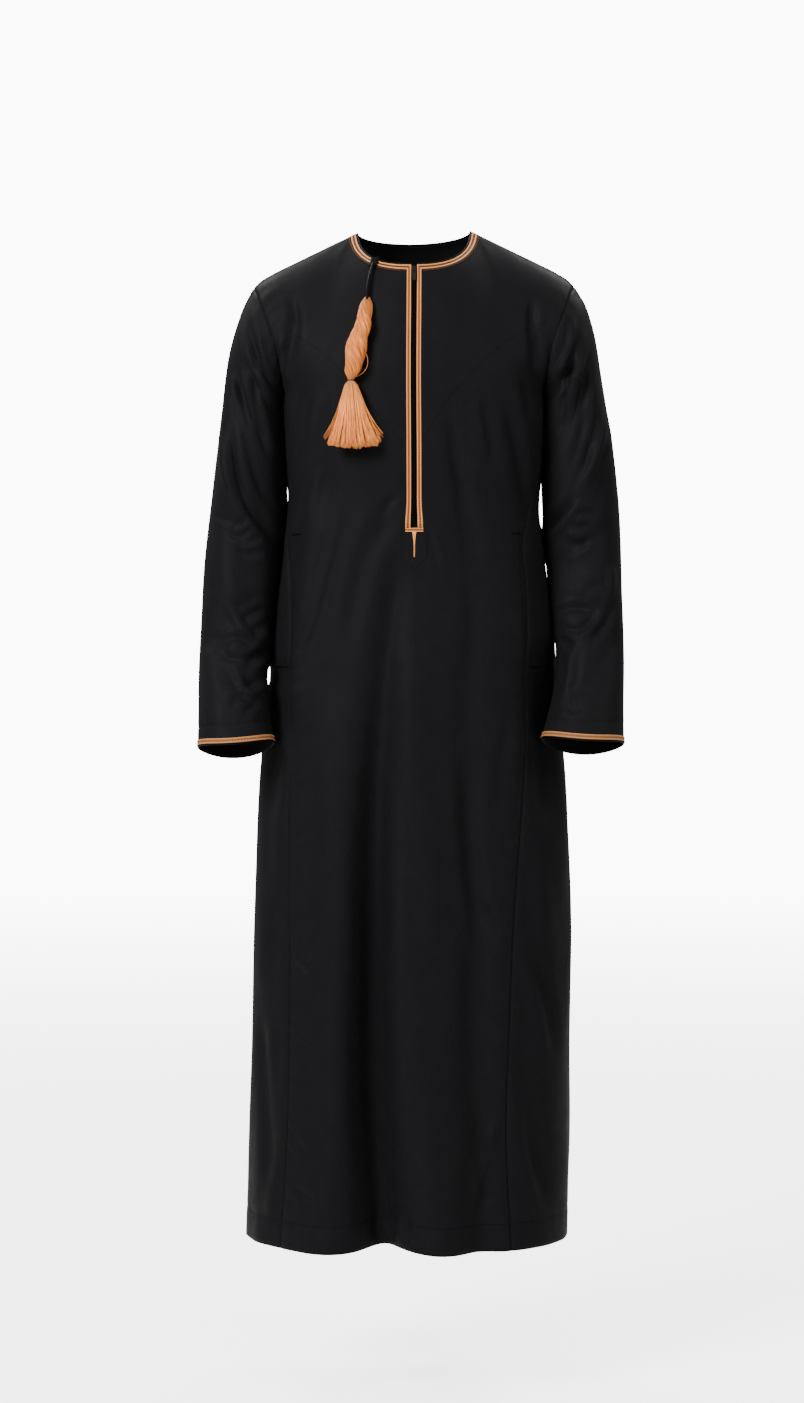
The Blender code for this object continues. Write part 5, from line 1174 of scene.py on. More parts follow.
def smoothed(values, times):
    """Running average over 3 neighbours, several times, the ends kept."""
    for _ in range(times):
        values = np.concatenate((values[:1], (values[:-2] + 2 * values[1:-1] + values[2:]) / 4, values[-1:]))
    return values


neck_run = np.gradient(neck_edge, axis=0)
neck_run = smoothed(neck_run / np.linalg.norm(neck_run, axis=1, keepdims=True), 6)
neck_normal = smoothed(soft_normal(neck_edge, 0.008), 6)
neck_square = np.cross(neck_normal, neck_run)
neck_square /= np.linalg.norm(neck_square, axis=1, keepdims=True)
neck_square *= np.sign((neck_square * (neck_edge - neck_edge.mean(axis=0))).sum(1))[:, None]


def slit_line(x, first, last):
    """Points of the front's inner side at one distance from the middle line, on the rows of the slit."""
    rows = np.arange(first, last)
    near = slice(front_middle - 6, front_middle + 7)
    points = []
    for row in rows:
        across = front_base[row, near, 0] - front_base[row, front_middle, 0]
        points.append(read_line([x], across, front_base[row, near]))
    return np.concatenate(points), front_normals_base[rows, front_middle]


front_normals_base = grid_normals(front_base)
BRAID_PROFILE = ((-1.0, 0.0), (-0.99, 0.45), (-0.92, 0.80), (-0.78, 1.0), (-0.62, 0.86), (-0.52, 0.54),
                 (-0.38, 0.64), (0.0, 0.72), (0.38, 0.64), (0.52, 0.54), (0.62, 0.86), (0.78, 1.0),
                 (0.92, 0.80), (0.99, 0.45), (1.0, 0.0))
SPIKE_PROFILE = ((-1.0, 0.0), (-0.9, 0.6), (-0.5, 0.9), (0.0, 1.0), (0.5, 0.9), (0.9, 0.6), (1.0, 0.0))


def braid(name, inner, outer, normal, high, finish, loop=False, profile=BRAID_PROFILE):
    """A braid laid along two edge lines: its cross-section (share across, share of height) runs from the
    inner to the outer line, and is closed underneath. UV holds metres along and the share across, 0 to 1."""
    profile = np.array(profile)
    middle, half = (inner + outer) / 2, (outer - inner) / 2
    top = (middle[:, None] + half[:, None] * profile[None, :, :1]
           + normal[:, None] * profile[None, :, 1:] * high)
    count, wide = top.shape[:2]
    steps = count if loop else count - 1
    run = run_length(middle)
    along = np.append(run, run[-1] + np.linalg.norm(middle[0] - middle[-1]))
    i, j = np.meshgrid(np.arange(steps), np.arange(wide), indexing="ij")
    i, j = i.ravel(), j.ravel()
    after, beside = (i + 1) % count, (j + 1) % wide
    faces = np.stack((i * wide + j, i * wide + beside, after * wide + beside, after * wide + j), axis=1)
    v = np.append((profile[:, 0] + 1) / 2, 0.0)
    uv = np.stack((np.stack((along[i], along[i], along[i + 1], along[i + 1]), axis=1),
                   np.stack((v[j], v[beside], v[beside], v[j]), axis=1)), axis=-1)
    face_list = faces.tolist()
    if not loop:
        face_list += [list(range(wide))[::-1], [(count - 1) * wide + k for k in range(wide)]]
        uv = np.concatenate((uv.reshape(-1, 2), np.zeros((2 * wide, 2))))
    return new_piece(name, top, face_list, finish, uv, "braid")


def braid_finish(name, edge, core, dot, dots):
    """Gold braid: twisted edge cords, and between them a darker track with a row of dots. "off" is the share
    across from the middle (0 to 0.5): the track lies within 0.24 of it and the dots within 0.16."""
    made, tree, shader = blank_finish(name, 0.45, 0.10)
    uv, split = read_uv(tree, "braid")
    off = reckon(tree, "ABSOLUTE", reckon(tree, "SUBTRACT", split["Y"], 0.5))
    track = ranged(tree, off, 0.20, 0.27, 1.0, 0.0)
    wave = reckon(tree, "SINE", reckon(tree, "MULTIPLY", split["X"], 2 * math.pi / DOT_PITCH))
    inside = reckon(tree, "MULTIPLY", ranged(tree, off, 0.12, 0.19, 1.0, 0.0),
                    ranged(tree, wave, -0.3, 0.7, 0.0, 1.0))
    amount = reckon(tree, "MULTIPLY", inside, dots)
    gold = two_tone(tree, noise(tree, uv, 300.0), [0.72 * value for value in edge], edge, (0.3, 0.7))
    laid = wire(tree, "ShaderNodeMix", (("Factor", track),), data_type="RGBA")
    mix = wire(tree, "ShaderNodeMix", (("Factor", amount),), data_type="RGBA")
    tree.links.new(gold, laid.inputs["A"])
    laid.inputs["B"].default_value = (*core, 1.0)
    tree.links.new(laid.outputs["Result"], mix.inputs["A"])
    mix.inputs["B"].default_value = (*dot, 1.0)
    tree.links.new(mix.outputs["Result"], shader.inputs["Base Color"])
    turns = reckon(tree, "MULTIPLY", split["X"], 2 * math.pi / 0.0011)
    twist = reckon(tree, "SINE", reckon(tree, "ADD", turns, reckon(tree, "MULTIPLY", off, 55.8)))
    ply = reckon(tree, "MULTIPLY", twist, ranged(tree, track, 0.0, 1.0, 1.0, 0.35))
    height = reckon(tree, "ADD", ply, reckon(tree, "MULTIPLY", amount, -0.8))
    raise_relief(tree, shader, height, 0.7, 0.0002)
    return made


DOT_PITCH = 0.0040
BRAID_HIGH, BRAID_LIFT, NECK_BRAID_LIFT = 0.0012, 0.0012, 0.0013
GOLD_EDGE, GOLD_CORE, GOLD_DOT = (0.70, 0.275, 0.078), (0.200, 0.060, 0.016), (0.030, 0.0060, 0.0030)
neck_gold = braid_finish("gold_braid", GOLD_EDGE, GOLD_CORE, GOLD_DOT, 0.95)
plain_gold = braid_finish("gold_braid_plain", GOLD_EDGE, (0.060, 0.019, 0.007), (0.035, 0.010, 0.004), 0.8)
# The rows of the slit that the braid lies beside
slit_low = int(np.argmin(np.abs(-front_base[:, front_middle, 2] - SLIT_BOTTOM))) + 1
slit_high = int(np.argmax(front_v[:, front_middle] > NECK_BRAID_OUT + 0.002))


def braid_half_slit(side):
    """The braid's two lines and normals up one side of the slit, and its mitred corner at the neck."""
    inner, normal = slit_line(side * PLACKET_IN, slit_high, slit_low)
    outer, _ = slit_line(side * PLACKET_OUT, slit_high, slit_low)
    flare = soft_step((-inner[:, 2] - 0.372) / (SLIT_BOTTOM - 0.372)) ** 1.5
    inner[:, 0] += side * 0.0009 * flare
    outer[:, 0] += side * 0.0021 * flare
    for line in (inner, outer):
        line[-1] += (line[-1] - line[-2]) * (0.4186 + line[-1, 2]) / (line[-2, 2] - line[-1, 2])
    edge = neck_edge[0] if side > 0 else neck_edge[-1]
    square = neck_square[0] if side > 0 else neck_square[-1]
    corner_normal = neck_normal[0] if side > 0 else neck_normal[-1]
    corner_in = edge + square * NECK_BRAID_IN
    corner_in[0] = side * PLACKET_IN
    corner_out = edge + square * NECK_BRAID_OUT
    corner_out[0] = side * PLACKET_OUT
    corners, _ = laid_on(np.array((corner_in, corner_out)))
    return (np.concatenate((inner[::-1], corners[:1])), np.concatenate((outer[::-1], corners[1:])),
            np.concatenate((normal[::-1], corner_normal[None])))


neck_in, neck_lie = laid_on(neck_edge + neck_square * NECK_BRAID_IN)
neck_far, _ = laid_on(neck_edge + neck_square * NECK_BRAID_OUT)
left_in, left_far, left_lie = braid_half_slit(1)
right_in, right_far, right_lie = braid_half_slit(-1)
keep = slice(3, -3)
all_in = np.concatenate((left_in, neck_in[keep], right_in[::-1]))
all_far = np.concatenate((left_far, neck_far[keep], right_far[::-1]))
all_lie = np.concatenate((left_lie, neck_lie[keep], right_lie[::-1]))
front_braid = braid("front_and_neck_braid", all_in + all_lie * NECK_BRAID_LIFT,
                    all_far + all_lie * NECK_BRAID_LIFT, all_lie, BRAID_HIGH, neck_gold)
front_braid.data.materials.append(plain_gold)
round_neck = np.zeros((len(all_in), len(BRAID_PROFILE)), int)
round_neck[len(left_in) - 1:len(left_in) + len(neck_in[keep])] = 1
front_braid.data.polygons.foreach_set("material_index", np.append(round_neck[:-1].ravel(), (0, 0)))
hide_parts("neck_braid", "placket_braid_right", "placket_braid_left")

corded, tree, shader = blank_finish("black_binding", 0.5, 0.04)
_, split = read_uv(tree, "braid")
along = reckon(tree, "MULTIPLY", split["X"], 2 * math.pi / 0.0016)
plies = reckon(tree, "SINE", reckon(tree, "ADD", along, reckon(tree, "MULTIPLY", split["Y"], 4 * math.pi)))
raise_relief(tree, shader, plies, 0.14, 0.0002)
# The base colour follows the plies' height: painted shade in the grooves between the plies and painted
# highlight on their crowns.
tree.links.new(ranged(tree, plies, -1.0, 1.0, 0.0006, 0.0018), shader.inputs["Base Color"])


def close_ends(faces, uv, count, sides):
    """The faces and UV of a tube of rings, with a face added over each of its two ends."""
    ends = [list(range(sides)), [(count - 1) * sides + k for k in range(sides)][::-1]]
    return faces.tolist() + ends, np.concatenate((uv.reshape(-1, 2), np.zeros((2 * sides, 2))))


def cord_mesh(name, path, normal, radius, finish, sides=10, loop=False, replaces=(), layer="braid"):
    """A round cord: the circle cos, sin carried along a path, in a frame of its run and a given normal."""
    radius = np.broadcast_to(np.asarray(radius, float), (len(path),))
    run = (np.roll(path, -1, axis=0) - np.roll(path, 1, axis=0)) if loop else np.gradient(path, axis=0)
    run /= np.linalg.norm(run, axis=1, keepdims=True)
    side = np.cross(run, normal)
    side /= np.linalg.norm(side, axis=1, keepdims=True)
    up = np.cross(side, run)
    turn = np.linspace(0, 2 * math.pi, sides, endpoint=False)
    cosine, sine = np.cos(turn)[None, :, None], np.sin(turn)[None, :, None]
    points = path[:, None] + (side[:, None] * cosine + up[:, None] * sine) * radius[:, None, None]
    count = len(path)
    steps = count if loop else count - 1
    i, j = np.meshgrid(np.arange(steps), np.arange(sides), indexing="ij")
    i, j = i.ravel(), j.ravel()
    after, beside = (i + 1) % count, (j + 1) % sides
    faces = np.stack((i * sides + j, after * sides + j, after * sides + beside, i * sides + beside), axis=1)
    length = run_length(path)
    length = np.append(length, length[-1] + np.linalg.norm(path[-1] - path[0]))
    uv = np.stack((np.stack((length[i], length[i + 1], length[i + 1], length[i]), axis=1),
                   np.stack((j, j, j + 1, j + 1), axis=1) / sides), axis=-1)
    faces, uv = (faces.tolist(), uv) if loop else close_ends(faces, uv, count, sides)
    made = new_piece(name, points, faces, finish, uv, layer)
    if replaces:
        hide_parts(*replaces)
    return made


binding_square, binding_lie = (np.pad(value, ((3, 3), (0, 0)), mode="edge")
                               for value in (neck_square, neck_normal))
beside_slit = np.array((3.1, 4.6, 6.1))
binding_path = (np.concatenate((neck_point(beside_slit, 1), neck_edge, neck_point(beside_slit[::-1], -1)))
                - binding_square * 0.0007 + binding_lie * 0.0008)
binding = cord_mesh("neck_edge_binding", binding_path, binding_lie, BINDING_RADIUS, corded,
                    replaces=("neck_binding",))

comb_finish, tree, shader = blank_finish("brown_thread", 0.6, 0.08)
mottle = noise(tree, wire(tree, "ShaderNodeTexCoord").outputs["Object"], 700.0)
tone = two_tone(tree, mottle, (0.024, 0.0115, 0.0065), (0.095, 0.048, 0.026))
tree.links.new(tone, shader.inputs["Base Color"])
comb_line, comb_out = laid_on(neck_edge + neck_square * (NECK_BRAID_OUT + 0.0015))
comb_place, comb_along, comb_normal = even_steps(comb_line + comb_out * (SHELL + 0.0004), comb_out, 0.0016)
comb_off = np.abs(comb_place[:, 0]) > PLACKET_OUT + 0.0002
comb_place, comb_along, comb_normal = comb_place[comb_off], comb_along[comb_off], comb_normal[comb_off]
comb_long = 0.0042 + 0.0004 * np.sin(np.arange(len(comb_place)) * 2.4)
comb = capsules("neck_comb_stitches", comb_place, np.cross(comb_along, comb_normal), comb_normal, comb_long,
                0.0010, comb_finish)

# Placket foot: a short bar of the same braid is sewn across the foot of the slit and closes it, and a gold
# spike of satin stitches tapers down from the bar's middle.
BAR_TOP, BAR_BOTTOM, BAR_HALF = 0.4180, 0.4232, 0.0122
SPIKE_TOP, SPIKE_BOTTOM, SPIKE_HALF = 0.4232, 0.4570, 0.0029
bar_x = np.linspace(-BAR_HALF, BAR_HALF, 13)
bar_in, bar_lie = on_cloth(front_base, front_normals_base, bar_x, np.full(13, BAR_TOP))
bar_out, _ = on_cloth(front_base, front_normals_base, bar_x, np.full(13, BAR_BOTTOM))
bar = braid("placket_bar_braid", bar_in + bar_lie * BRAID_LIFT, bar_out + bar_lie * BRAID_LIFT, bar_lie, 0.0013,
            neck_gold)
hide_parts("placket_bar")
spike_drop = np.linspace(SPIKE_TOP, SPIKE_BOTTOM, 17)
spike_half = np.interp(spike_drop, (SPIKE_TOP, 0.4314, 0.4400, 0.4520, SPIKE_BOTTOM),
                       (SPIKE_HALF, 0.0017, 0.0010, 0.0008, 0.0009))
spike_left, spike_lie = on_cloth(front_base, front_normals_base, spike_half, spike_drop)
spike_right, _ = on_cloth(front_base, front_normals_base, -spike_half, spike_drop)
spike_gold = braid_finish("gold_spike", GOLD_EDGE, (0.60, 0.205, 0.048), GOLD_DOT, 0.0)
spike = braid("placket_spike_braid", spike_right + spike_lie * BRAID_LIFT, spike_left + spike_lie * BRAID_LIFT,
              spike_lie, BRAID_HIGH, spike_gold, profile=SPIKE_PROFILE)
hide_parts("placket_spike")

# Zip: black woven tape sewn behind both edges of the slit, and on it a closed coil of black nylon whose turns
# lock across the middle. The slider and its pull are the frame's own solids in black lacquer.
zip_rows = np.arange(1, slit_low + 2)
zip_lines = np.stack([slit_line(x, 1, slit_low + 2)[0] for x in np.linspace(-0.0115, 0.0115, 13)], axis=1)
zip_out = front_normals_base[zip_rows, front_middle][:, None]
tape_finish = cloth_finish("zip_tape_cloth", (0.0012, 0.0012, 0.0014), 4200.0, 0.5, 0.2, 0.0)
tape = cloth_shell("zip_tape_woven", zip_lines - zip_out * 0.0014, tape_finish, 0.0008)
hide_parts("zip_tape")
coil_finish, tree, shader = blank_finish("zip_coil", 0.4, 0.035)
mottle = noise(tree, wire(tree, "ShaderNodeTexCoord").outputs["Object"], 600.0)
tree.links.new(ranged(tree, mottle, 0.0, 1.0, 0.28, 0.5), shader.inputs["Roughness"])
shader.inputs["Base Color"].default_value = (0.0009, 0.0009, 0.0011, 1.0)
coil_line, coil_out = slit_line(0.0, 1, slit_low - 1)
coil_place, coil_along, coil_normal = even_steps(coil_line - coil_out * 0.0001, coil_out, 0.00115)
coil_side = np.cross(coil_normal, coil_along)
coil_shift = np.where(np.arange(len(coil_place)) % 2 == 0, 0.0006, -0.0006)[:, None]
coil = capsules("zip_coil_turns", coil_place + coil_side * coil_shift, coil_side, coil_normal, 0.0034, 0.0011,
                coil_finish, high=0.9)
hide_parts("zip_chain")
lacquer, tree, shader = blank_finish("black_lacquer", 0.4, 0.09)
mottle = noise(tree, wire(tree, "ShaderNodeTexCoord").outputs["Object"], 900.0, 4.0)
tree.links.new(ranged(tree, mottle, 0.0, 1.0, 0.34, 0.50), shader.inputs["Roughness"])
shader.inputs["Base Color"].default_value = (0.0018, 0.0018, 0.0021, 1.0)
for node in ("zip_slider", "zip_pull"):
    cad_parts[node].data.materials.clear()
    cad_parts[node].data.materials.append(lacquer)

# Cuffs: a gold braid of the same make, but duller, is sewn flat round each sleeve's end, and below it the
# edge of the cloth is rolled in a black corded binding.
CUFF_BRAID_WIDTH, CUFF_BRAID_EDGE = 0.0072, 0.0014
cuff_gold = braid_finish("gold_cuff_braid", (0.40, 0.178, 0.064), (0.190, 0.072, 0.024), (0.050, 0.017, 0.008),
                         0.9)
for side, word in ((-1, "right"), (1, "left")):
    grid, v = sleeve_bases[side], measured(sleeve_bases[side])[1]
    lie = grid_normals(grid, round_it=True)[-1]
    low, high = (np.concatenate([read_line([v[-1, j] - up], v[:, j], grid[:, j])
                                 for j in range(grid.shape[1])])
                 for up in (CUFF_BRAID_EDGE, CUFF_BRAID_EDGE + CUFF_BRAID_WIDTH))
    ring = braid("cuff_gold_" + word, low + lie * BRAID_LIFT, high + lie * BRAID_LIFT, lie, BRAID_HIGH,
                 cuff_gold, loop=True)
    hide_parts("cuff_braid_" + word)
    roll = cord_mesh("cuff_edge_" + word, grid[-1] + lie * 0.0007, lie, 0.0010, corded, loop=True)

# Tassel: a tab of corded tape folded over the neck braid on the wearer's right, a black cord from it, a skein
# of copper-gold silk twisted once round itself, a dark thread tied round its foot, and the cut threads below.
TAB_EDGE = np.array((-0.05150, -0.06038, -0.04915))
TAB_DOWN = np.array((-0.21641, -0.57206, -0.79115))
TAB_SIDE = np.array((0.93531, -0.35382, 0.0))
TAB_OUT = np.array((-0.27993, -0.73997, 0.61163))
# The skein's middle, half width and turn in degrees by drop
HEAD_COLUMNS = "drop x y half_width turn"
TASSEL_HEAD = (
    (0.1055, -0.0634, -0.0990, 0.0036, 0.0),
    (0.1135, -0.0643, -0.1060, 0.0074, 25.0),
    (0.1202, -0.0650, -0.1102, 0.0093, 45.0),
    (0.1336, -0.0671, -0.1170, 0.0112, 80.0),
    (0.1430, -0.0686, -0.1205, 0.0122, 110.0),
    (0.1537, -0.0714, -0.1230, 0.0123, 140.0),
    (0.1617, -0.0749, -0.1242, 0.0119, 165.0),
    (0.1737, -0.0774, -0.1278, 0.0136, 195.0),
    (0.1871, -0.0789, -0.1300, 0.0142, 235.0),
    (0.2005, -0.0812, -0.1305, 0.0128, 275.0),
    (0.2099, -0.0831, -0.1305, 0.0088, 300.0),
    (0.2185, -0.0849, -0.1300, 0.0042, 320.0),
)
TIE_TOP, TIE_BOTTOM = 0.2188, 0.2228
SKIRT_BOTTOM = 0.3110
tie_middle = np.array((-0.0849, -0.1300))

tab_turn = np.linspace(0, 2 * math.pi, 48, endpoint=False)
tab_cos, tab_sin = np.cos(tab_turn), np.sin(tab_turn)
tab_wide = (np.sign(tab_cos) * np.abs(tab_cos) ** 0.45)[None, :, None] * 0.0060
tab_deep = (np.sign(tab_sin) * np.abs(tab_sin) ** 0.55)[None, :, None] * 0.00125
tab_fall = np.concatenate(([-0.0008, -0.0010, -0.0004], np.linspace(0.0006, 0.0146, 18),
                           [0.0152, 0.0156, 0.0155]))
tab_scale = np.concatenate(([0.80, 0.95, 1.0], 1 - 0.05 * np.sin(np.linspace(0, math.pi, 18)),
                            [0.99, 0.94, 0.78]))
tab_ring = (TAB_EDGE + TAB_OUT * 0.0047 + tab_fall[:, None, None] * TAB_DOWN
            + tab_scale[:, None, None] * (tab_wide * TAB_SIDE + tab_deep * TAB_OUT))


def closed_rings(name, rings, finish):
    """Rings of points joined into a skin and closed at both ends. UV holds metres round and metres along."""
    count, sides = rings.shape[:2]
    i, j = np.meshgrid(np.arange(count - 1), np.arange(sides), indexing="ij")
    i, j = i.ravel(), j.ravel()
    beside = (j + 1) % sides
    faces = np.stack((i * sides + j, (i + 1) * sides + j, (i + 1) * sides + beside, i * sides + beside),
                     axis=1)
    closed = np.concatenate((rings, rings[:, :1]), axis=1)
    around = np.linalg.norm(np.diff(closed, axis=1), axis=2).sum(axis=1).mean() / sides
    along = run_length(rings.mean(axis=1))
    uv = np.stack((np.stack((j, j, j + 1, j + 1), axis=1) * around,
                   np.stack((along[i], along[i + 1], along[i + 1], along[i]), axis=1)), axis=-1)
    faces, uv = close_ends(faces, uv, count, sides)
    made = new_piece(name, rings, faces, finish, uv)
    made.data.validate()
    return made


tab_finish = cloth_finish("tab_tape", (0.0014, 0.0014, 0.0016), 3000.0, 0.3, 0.2, 0.0)
tab = closed_rings("tassel_tab_tape", tab_ring, tab_finish)
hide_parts("tassel_tab")

head_drop = read_column(HEAD_COLUMNS, TASSEL_HEAD, "drop")
strap_points = np.array((
    (-0.0552, -0.0702, -0.0550), (-0.0563, -0.0731, -0.0590), (-0.0582, -0.0785, -0.0664),
    (-0.0599, -0.0841, -0.0741), (-0.0613, -0.0894, -0.0820), (-0.0624, -0.0939, -0.0899),
    (-0.0631, -0.0973, -0.0976), (-0.0634, -0.0990, -0.1049)))
inside_drop = np.linspace(0.112, 0.2185, 12)
inside_x, inside_y = (from_table(HEAD_COLUMNS, TASSEL_HEAD, "drop", name, inside_drop) for name in ("x", "y"))
inside_head = np.column_stack((inside_x, inside_y, -inside_drop))
cord_route = np.concatenate((strap_points, inside_head))
cord_path = curve_through(range(len(cord_route)), cord_route, np.linspace(0, len(cord_route) - 1, 160))
tassel_cord = cord_mesh("tassel_cord", cord_path, np.tile((0.2, -0.9, 0.1), (160, 1)), 0.0026, corded,
                        sides=14, replaces=("tassel_strap",))


def silk_finish(name, dark, light, relief, fine):
    """Silk thread: streaks along the threads between two colours, raised where they are light: partly the
    strands' own tone, partly painted highlight on the raised strands and painted shade between them. Painted
    shade darkens the first 34 mm of each piece: the fringe where its threads leave the tie, and the top of the
    skein."""
    made, tree, shader = blank_finish(name, 0.42, 0.12)
    uv, split = read_uv(tree, "cloth")
    streak = noise(tree, drawn_out(tree, uv, fine, 50.0), 1.0, 4.0)
    # Light streaks lie on the raised strands: partly the silk's own tone, partly painted highlight, with
    # painted shade in the dark ones.
    tone = two_tone(tree, streak, dark, light, (0.36, 0.64))
    # Painted shade: the colour is halved at the start of each piece and comes to full by 34 mm along it.
    shade = ranged(tree, split["Y"], 0.0, 0.034, 0.50, 1.0)
    deep = wire(tree, "ShaderNodeVectorMath", ((0, tone), ("Scale", shade)), operation="SCALE")
    tree.links.new(deep.outputs[0], shader.inputs["Base Color"])
    raise_relief(tree, shader, streak, relief, 0.0004)
    return made


silk = silk_finish("tassel_silk", (0.130, 0.026, 0.004), (0.710, 0.215, 0.037), 0.9, 1700.0)
fringe_silk = silk_finish("tassel_fringe", (0.52, 0.145, 0.024), (0.98, 0.370, 0.090), 0.3, 5200.0)
head_at = np.linspace(head_drop[0] - 0.0006, head_drop[-1] + 0.0012, 150)
head_x, head_y, head_half, head_turn = (from_table(HEAD_COLUMNS, TASSEL_HEAD, "drop", name, head_at)
                                        for name in ("x", "y", "half_width", "turn"))
head_round = np.linspace(0, 2 * math.pi, 220, endpoint=False)
head_phase = head_round[None] - np.radians(head_turn)[:, None]
head_lobe = 0.95 + 0.11 * np.cos(2 * head_phase) - 0.09 * np.exp(-(1 - np.abs(np.sin(head_phase))) / 0.03)
head_lobe = 1 + (head_lobe - 1) * soft_step((0.2150 - head_at) / 0.026)[:, None]
head_lobe = head_lobe + 0.14 * np.exp(-((head_at - 0.2110) / 0.0060) ** 2)[:, None]
head_twist = np.abs(np.sin(4.5 * head_phase + 0.6 * np.sin(2 * head_phase) + 0.4))
head_strand = (-0.075 * np.exp(-(1 - head_twist) / 0.11)
               + 0.014 * np.cos(22 * head_phase + 1.3 * np.sin(3 * head_phase))
               + 0.012 * np.cos(47 * head_phase + 2.0 * np.sin(5 * head_phase)))
head_size = head_half[:, None] * (head_lobe + head_strand)
head_ring = np.stack((head_x[:, None] + head_size * np.cos(head_round),
                      head_y[:, None] + 0.84 * head_size * np.sin(head_round),
                      -np.broadcast_to(head_at[:, None], head_size.shape)), axis=-1)
head_ring = np.stack([np.roll(ring, -int(round(turn / 360 * 220)), axis=0)
                      for ring, turn in zip(head_ring, head_turn)])
skein = closed_rings("tassel_skein", head_ring, silk)
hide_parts("tassel_head")

# Tie: a dark red thread wound four times round the foot of the skein
tie_turn = np.linspace(0, 2 * math.pi * 4, 260)
tie_path = np.column_stack((tie_middle[0] + (0.0038 + 0.0002 * np.sin(tie_turn * 1.7)) * np.cos(tie_turn),
                            tie_middle[1] + 0.0038 * np.sin(tie_turn),
                            -np.linspace(TIE_TOP + 0.0008, TIE_BOTTOM - 0.0010, 260)))
tie_lie = np.column_stack((np.cos(tie_turn), np.sin(tie_turn), np.zeros(260)))
dark_thread, tree, shader = blank_finish("dark_red_thread", 0.45, 0.5)
uv, _ = read_uv(tree, "braid")
plies = wire(tree, "ShaderNodeTexWave", (("Vector", uv), ("Scale", 260.0), ("Distortion", 1.5)))
tone = two_tone(tree, plies.outputs["Fac"], (0.004, 0.0012, 0.001), (0.030, 0.007, 0.004))
tree.links.new(tone, shader.inputs["Base Color"])
tie = cord_mesh("tassel_tie_thread", tie_path, tie_lie, 0.00062, dark_thread, sides=7,
                replaces=("tassel_tie",))

# Threads: cut silk below the tie, gathered in locks that sway together, with a few strays. Each is a
# three-sided rod of 13 lengths. Half widths of the skirt, across and front to back, go by share of its drop.
THREADS, LOCKS, STRAYS = 1500, 36, 22
SKIRT_TOP = 0.2212
SKIRT_SHARE = (0, 0.03, 0.09, 0.30, 0.52, 0.78, 1.0)
SKIRT_WIDE = (0.0034, 0.0064, 0.0092, 0.0136, 0.0183, 0.0250, 0.0318)
SKIRT_DEEP = (0.0034, 0.0060, 0.0074, 0.0090, 0.0106, 0.0124, 0.0142)
rng = np.random.default_rng(11)
fall = np.linspace(0.0, 1.0, 14)
lock = rng.integers(0, LOCKS, THREADS)
lock_bearing = 2 * math.pi * (np.arange(LOCKS) + rng.uniform(-0.3, 0.3, LOCKS)) / LOCKS
bearing = lock_bearing[lock] + rng.normal(0.0, 0.036, THREADS)
share = np.where(rng.random(THREADS) < 0.7, rng.uniform(0.93, 1.03, THREADS), rng.uniform(0.25, 0.9, THREADS))
wide, deep = np.interp(fall, SKIRT_SHARE, SKIRT_WIDE), np.interp(fall, SKIRT_SHARE, SKIRT_DEEP)
stray = np.zeros(THREADS)
stray[:STRAYS] = rng.uniform(0.08, 0.26, STRAYS)
bearing[:STRAYS] = np.where(np.arange(STRAYS) < 15, rng.normal(0.0, 0.35, STRAYS),
                            rng.normal(math.pi, 0.3, STRAYS))
share[:STRAYS] = 1.0
reach = 1.0 + stray[:, None] * fall[None] ** 2
lower = (SKIRT_BOTTOM + rng.normal(-0.0006, 0.0010, LOCKS)[lock] + rng.uniform(-0.0030, 0.0010, THREADS)
         - 0.0030 * (np.cos(bearing) * share) ** 2
         - np.where(stray > 0, rng.uniform(0.002, 0.013, THREADS), 0))
sway = rng.uniform(0.0002, 0.0011, THREADS)[:, None] * fall[None] ** 1.4
beat = rng.uniform(5.0, 17.0, THREADS)[:, None] * fall[None] + rng.uniform(0, 6.28, THREADS)[:, None]
lock_beat = (rng.uniform(2.0, 5.0, LOCKS)[lock][:, None] * fall[None]
             + rng.uniform(0, 6.28, LOCKS)[lock][:, None])
lock_sway = 0.0019 * fall[None] ** 1.2
thread_x = (tie_middle[0] + 0.0030 * fall + share[:, None] * reach * wide * np.cos(bearing)[:, None]
            + sway * np.sin(beat) + lock_sway * np.sin(lock_beat))
thread_y = (tie_middle[1] - 0.0065 * fall + share[:, None] * reach * deep * np.sin(bearing)[:, None]
            + sway * np.cos(1.3 * beat) + 0.5 * lock_sway * np.cos(lock_beat))
thread_z = -(SKIRT_TOP + (lower[:, None] - SKIRT_TOP) * fall[None])
thread_path = np.stack((thread_x, thread_y, thread_z), axis=-1)
thread_run = np.gradient(thread_path, axis=1)
thread_run /= np.linalg.norm(thread_run, axis=2, keepdims=True)
thread_side = np.cross(thread_run, np.array((0.0, 1.0, 0.0)))
thread_side /= np.linalg.norm(thread_side, axis=2, keepdims=True)
thread_up = np.cross(thread_side, thread_run)
thread_thick = (0.00036 * (1 - 0.25 * fall))[None, :, None, None]
corner = np.array((0.3, 2.394, 4.489))
thread_skin = (thread_path[:, :, None]
               + thread_thick * (thread_side[:, :, None] * np.cos(corner)[None, None, :, None]
                                 + thread_up[:, :, None] * np.sin(corner)[None, None, :, None]))
thread_id, step_id, corner_id = (value.ravel() for value in np.meshgrid(
    np.arange(THREADS), np.arange(13), np.arange(3), indexing="ij"))
first = (thread_id * 14 + step_id) * 3
after = (corner_id + 1) % 3
skirt_faces = np.stack((first + corner_id, first + 3 + corner_id, first + 3 + after, first + after), axis=1)
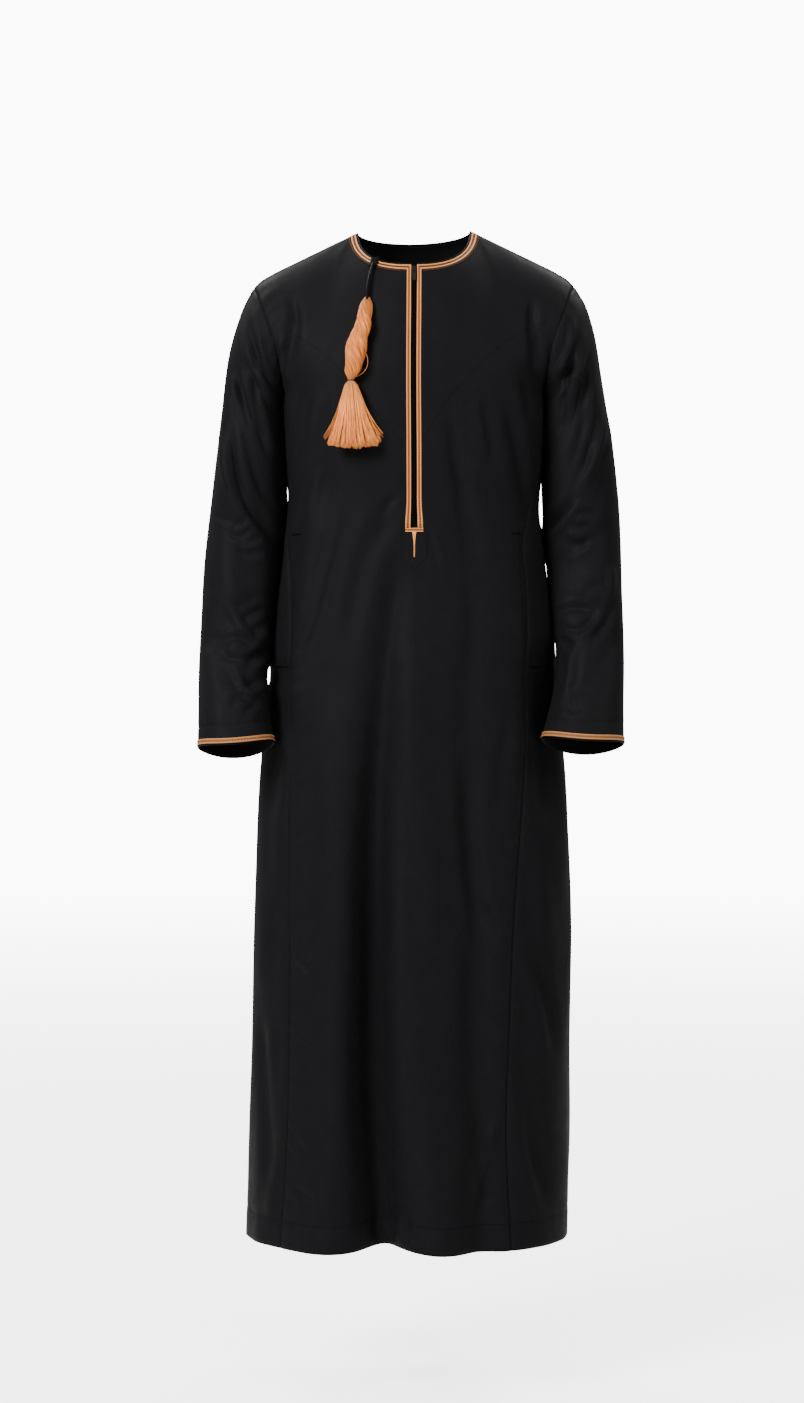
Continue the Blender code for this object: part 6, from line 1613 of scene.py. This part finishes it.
skirt_faces = skirt_faces.tolist() + [[(t * 14 + 13) * 3 + k for k in (2, 1, 0)] for t in range(THREADS)]
skirt_uv = np.stack((np.repeat((thread_id * 0.00013)[:, None], 4, axis=1),
                     np.stack((step_id, step_id + 1, step_id + 1, step_id), axis=1) * 0.0068), axis=-1)
skirt_uv = np.concatenate((skirt_uv.reshape(-1, 2), np.zeros((3 * THREADS, 2))))
skirt = new_piece("tassel_threads", thread_skin, skirt_faces, fringe_silk, skirt_uv)
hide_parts("tassel_skirt")

# Inside the skirt a rippled body stands for the threads that aren't drawn one by one, and one loose thread
# hangs in a bow beside the skein.
core_drop = np.linspace(0.2225, 0.3060, 30)
core_share = (core_drop - SKIRT_TOP) / (SKIRT_BOTTOM - SKIRT_TOP)
core_wide, core_deep = (size * np.interp(core_share, SKIRT_SHARE, edge)
                        for size, edge in ((0.84, SKIRT_WIDE), (0.80, SKIRT_DEEP)))
core_round = np.linspace(0, 2 * math.pi, 140, endpoint=False)
core_ripple = 1 + 0.04 * np.cos(36 * core_round) + 0.02 * np.cos(53 * core_round + 1)
core_x = core_wide[:, None] * core_ripple * np.cos(core_round)
core_y = core_deep[:, None] * core_ripple * np.sin(core_round)
core_ring = np.stack((tie_middle[0] + 0.0030 * core_share[:, None] + core_x,
                      tie_middle[1] - 0.0065 * core_share[:, None] + core_y,
                      -np.broadcast_to(core_drop[:, None], (30, 140))), axis=-1)
core = closed_rings("tassel_core_threads", core_ring, silk)
loose_route = np.array(((-0.0672, -0.1240, -0.1780), (-0.0655, -0.1285, -0.1830), (-0.0627, -0.1290, -0.1906),
                        (-0.0630, -0.1295, -0.2014), (-0.0687, -0.1300, -0.2107), (-0.0768, -0.1300, -0.2154),
                        (-0.0830, -0.1305, -0.2180)))
loose_path = curve_through(range(7), loose_route, np.linspace(0, 6, 49))
loose = cord_mesh("tassel_loose_thread", loose_path, np.tile((0.0, -1.0, 0.0), (49, 1)), 0.00028, fringe_silk,
                  sides=5, layer="cloth")
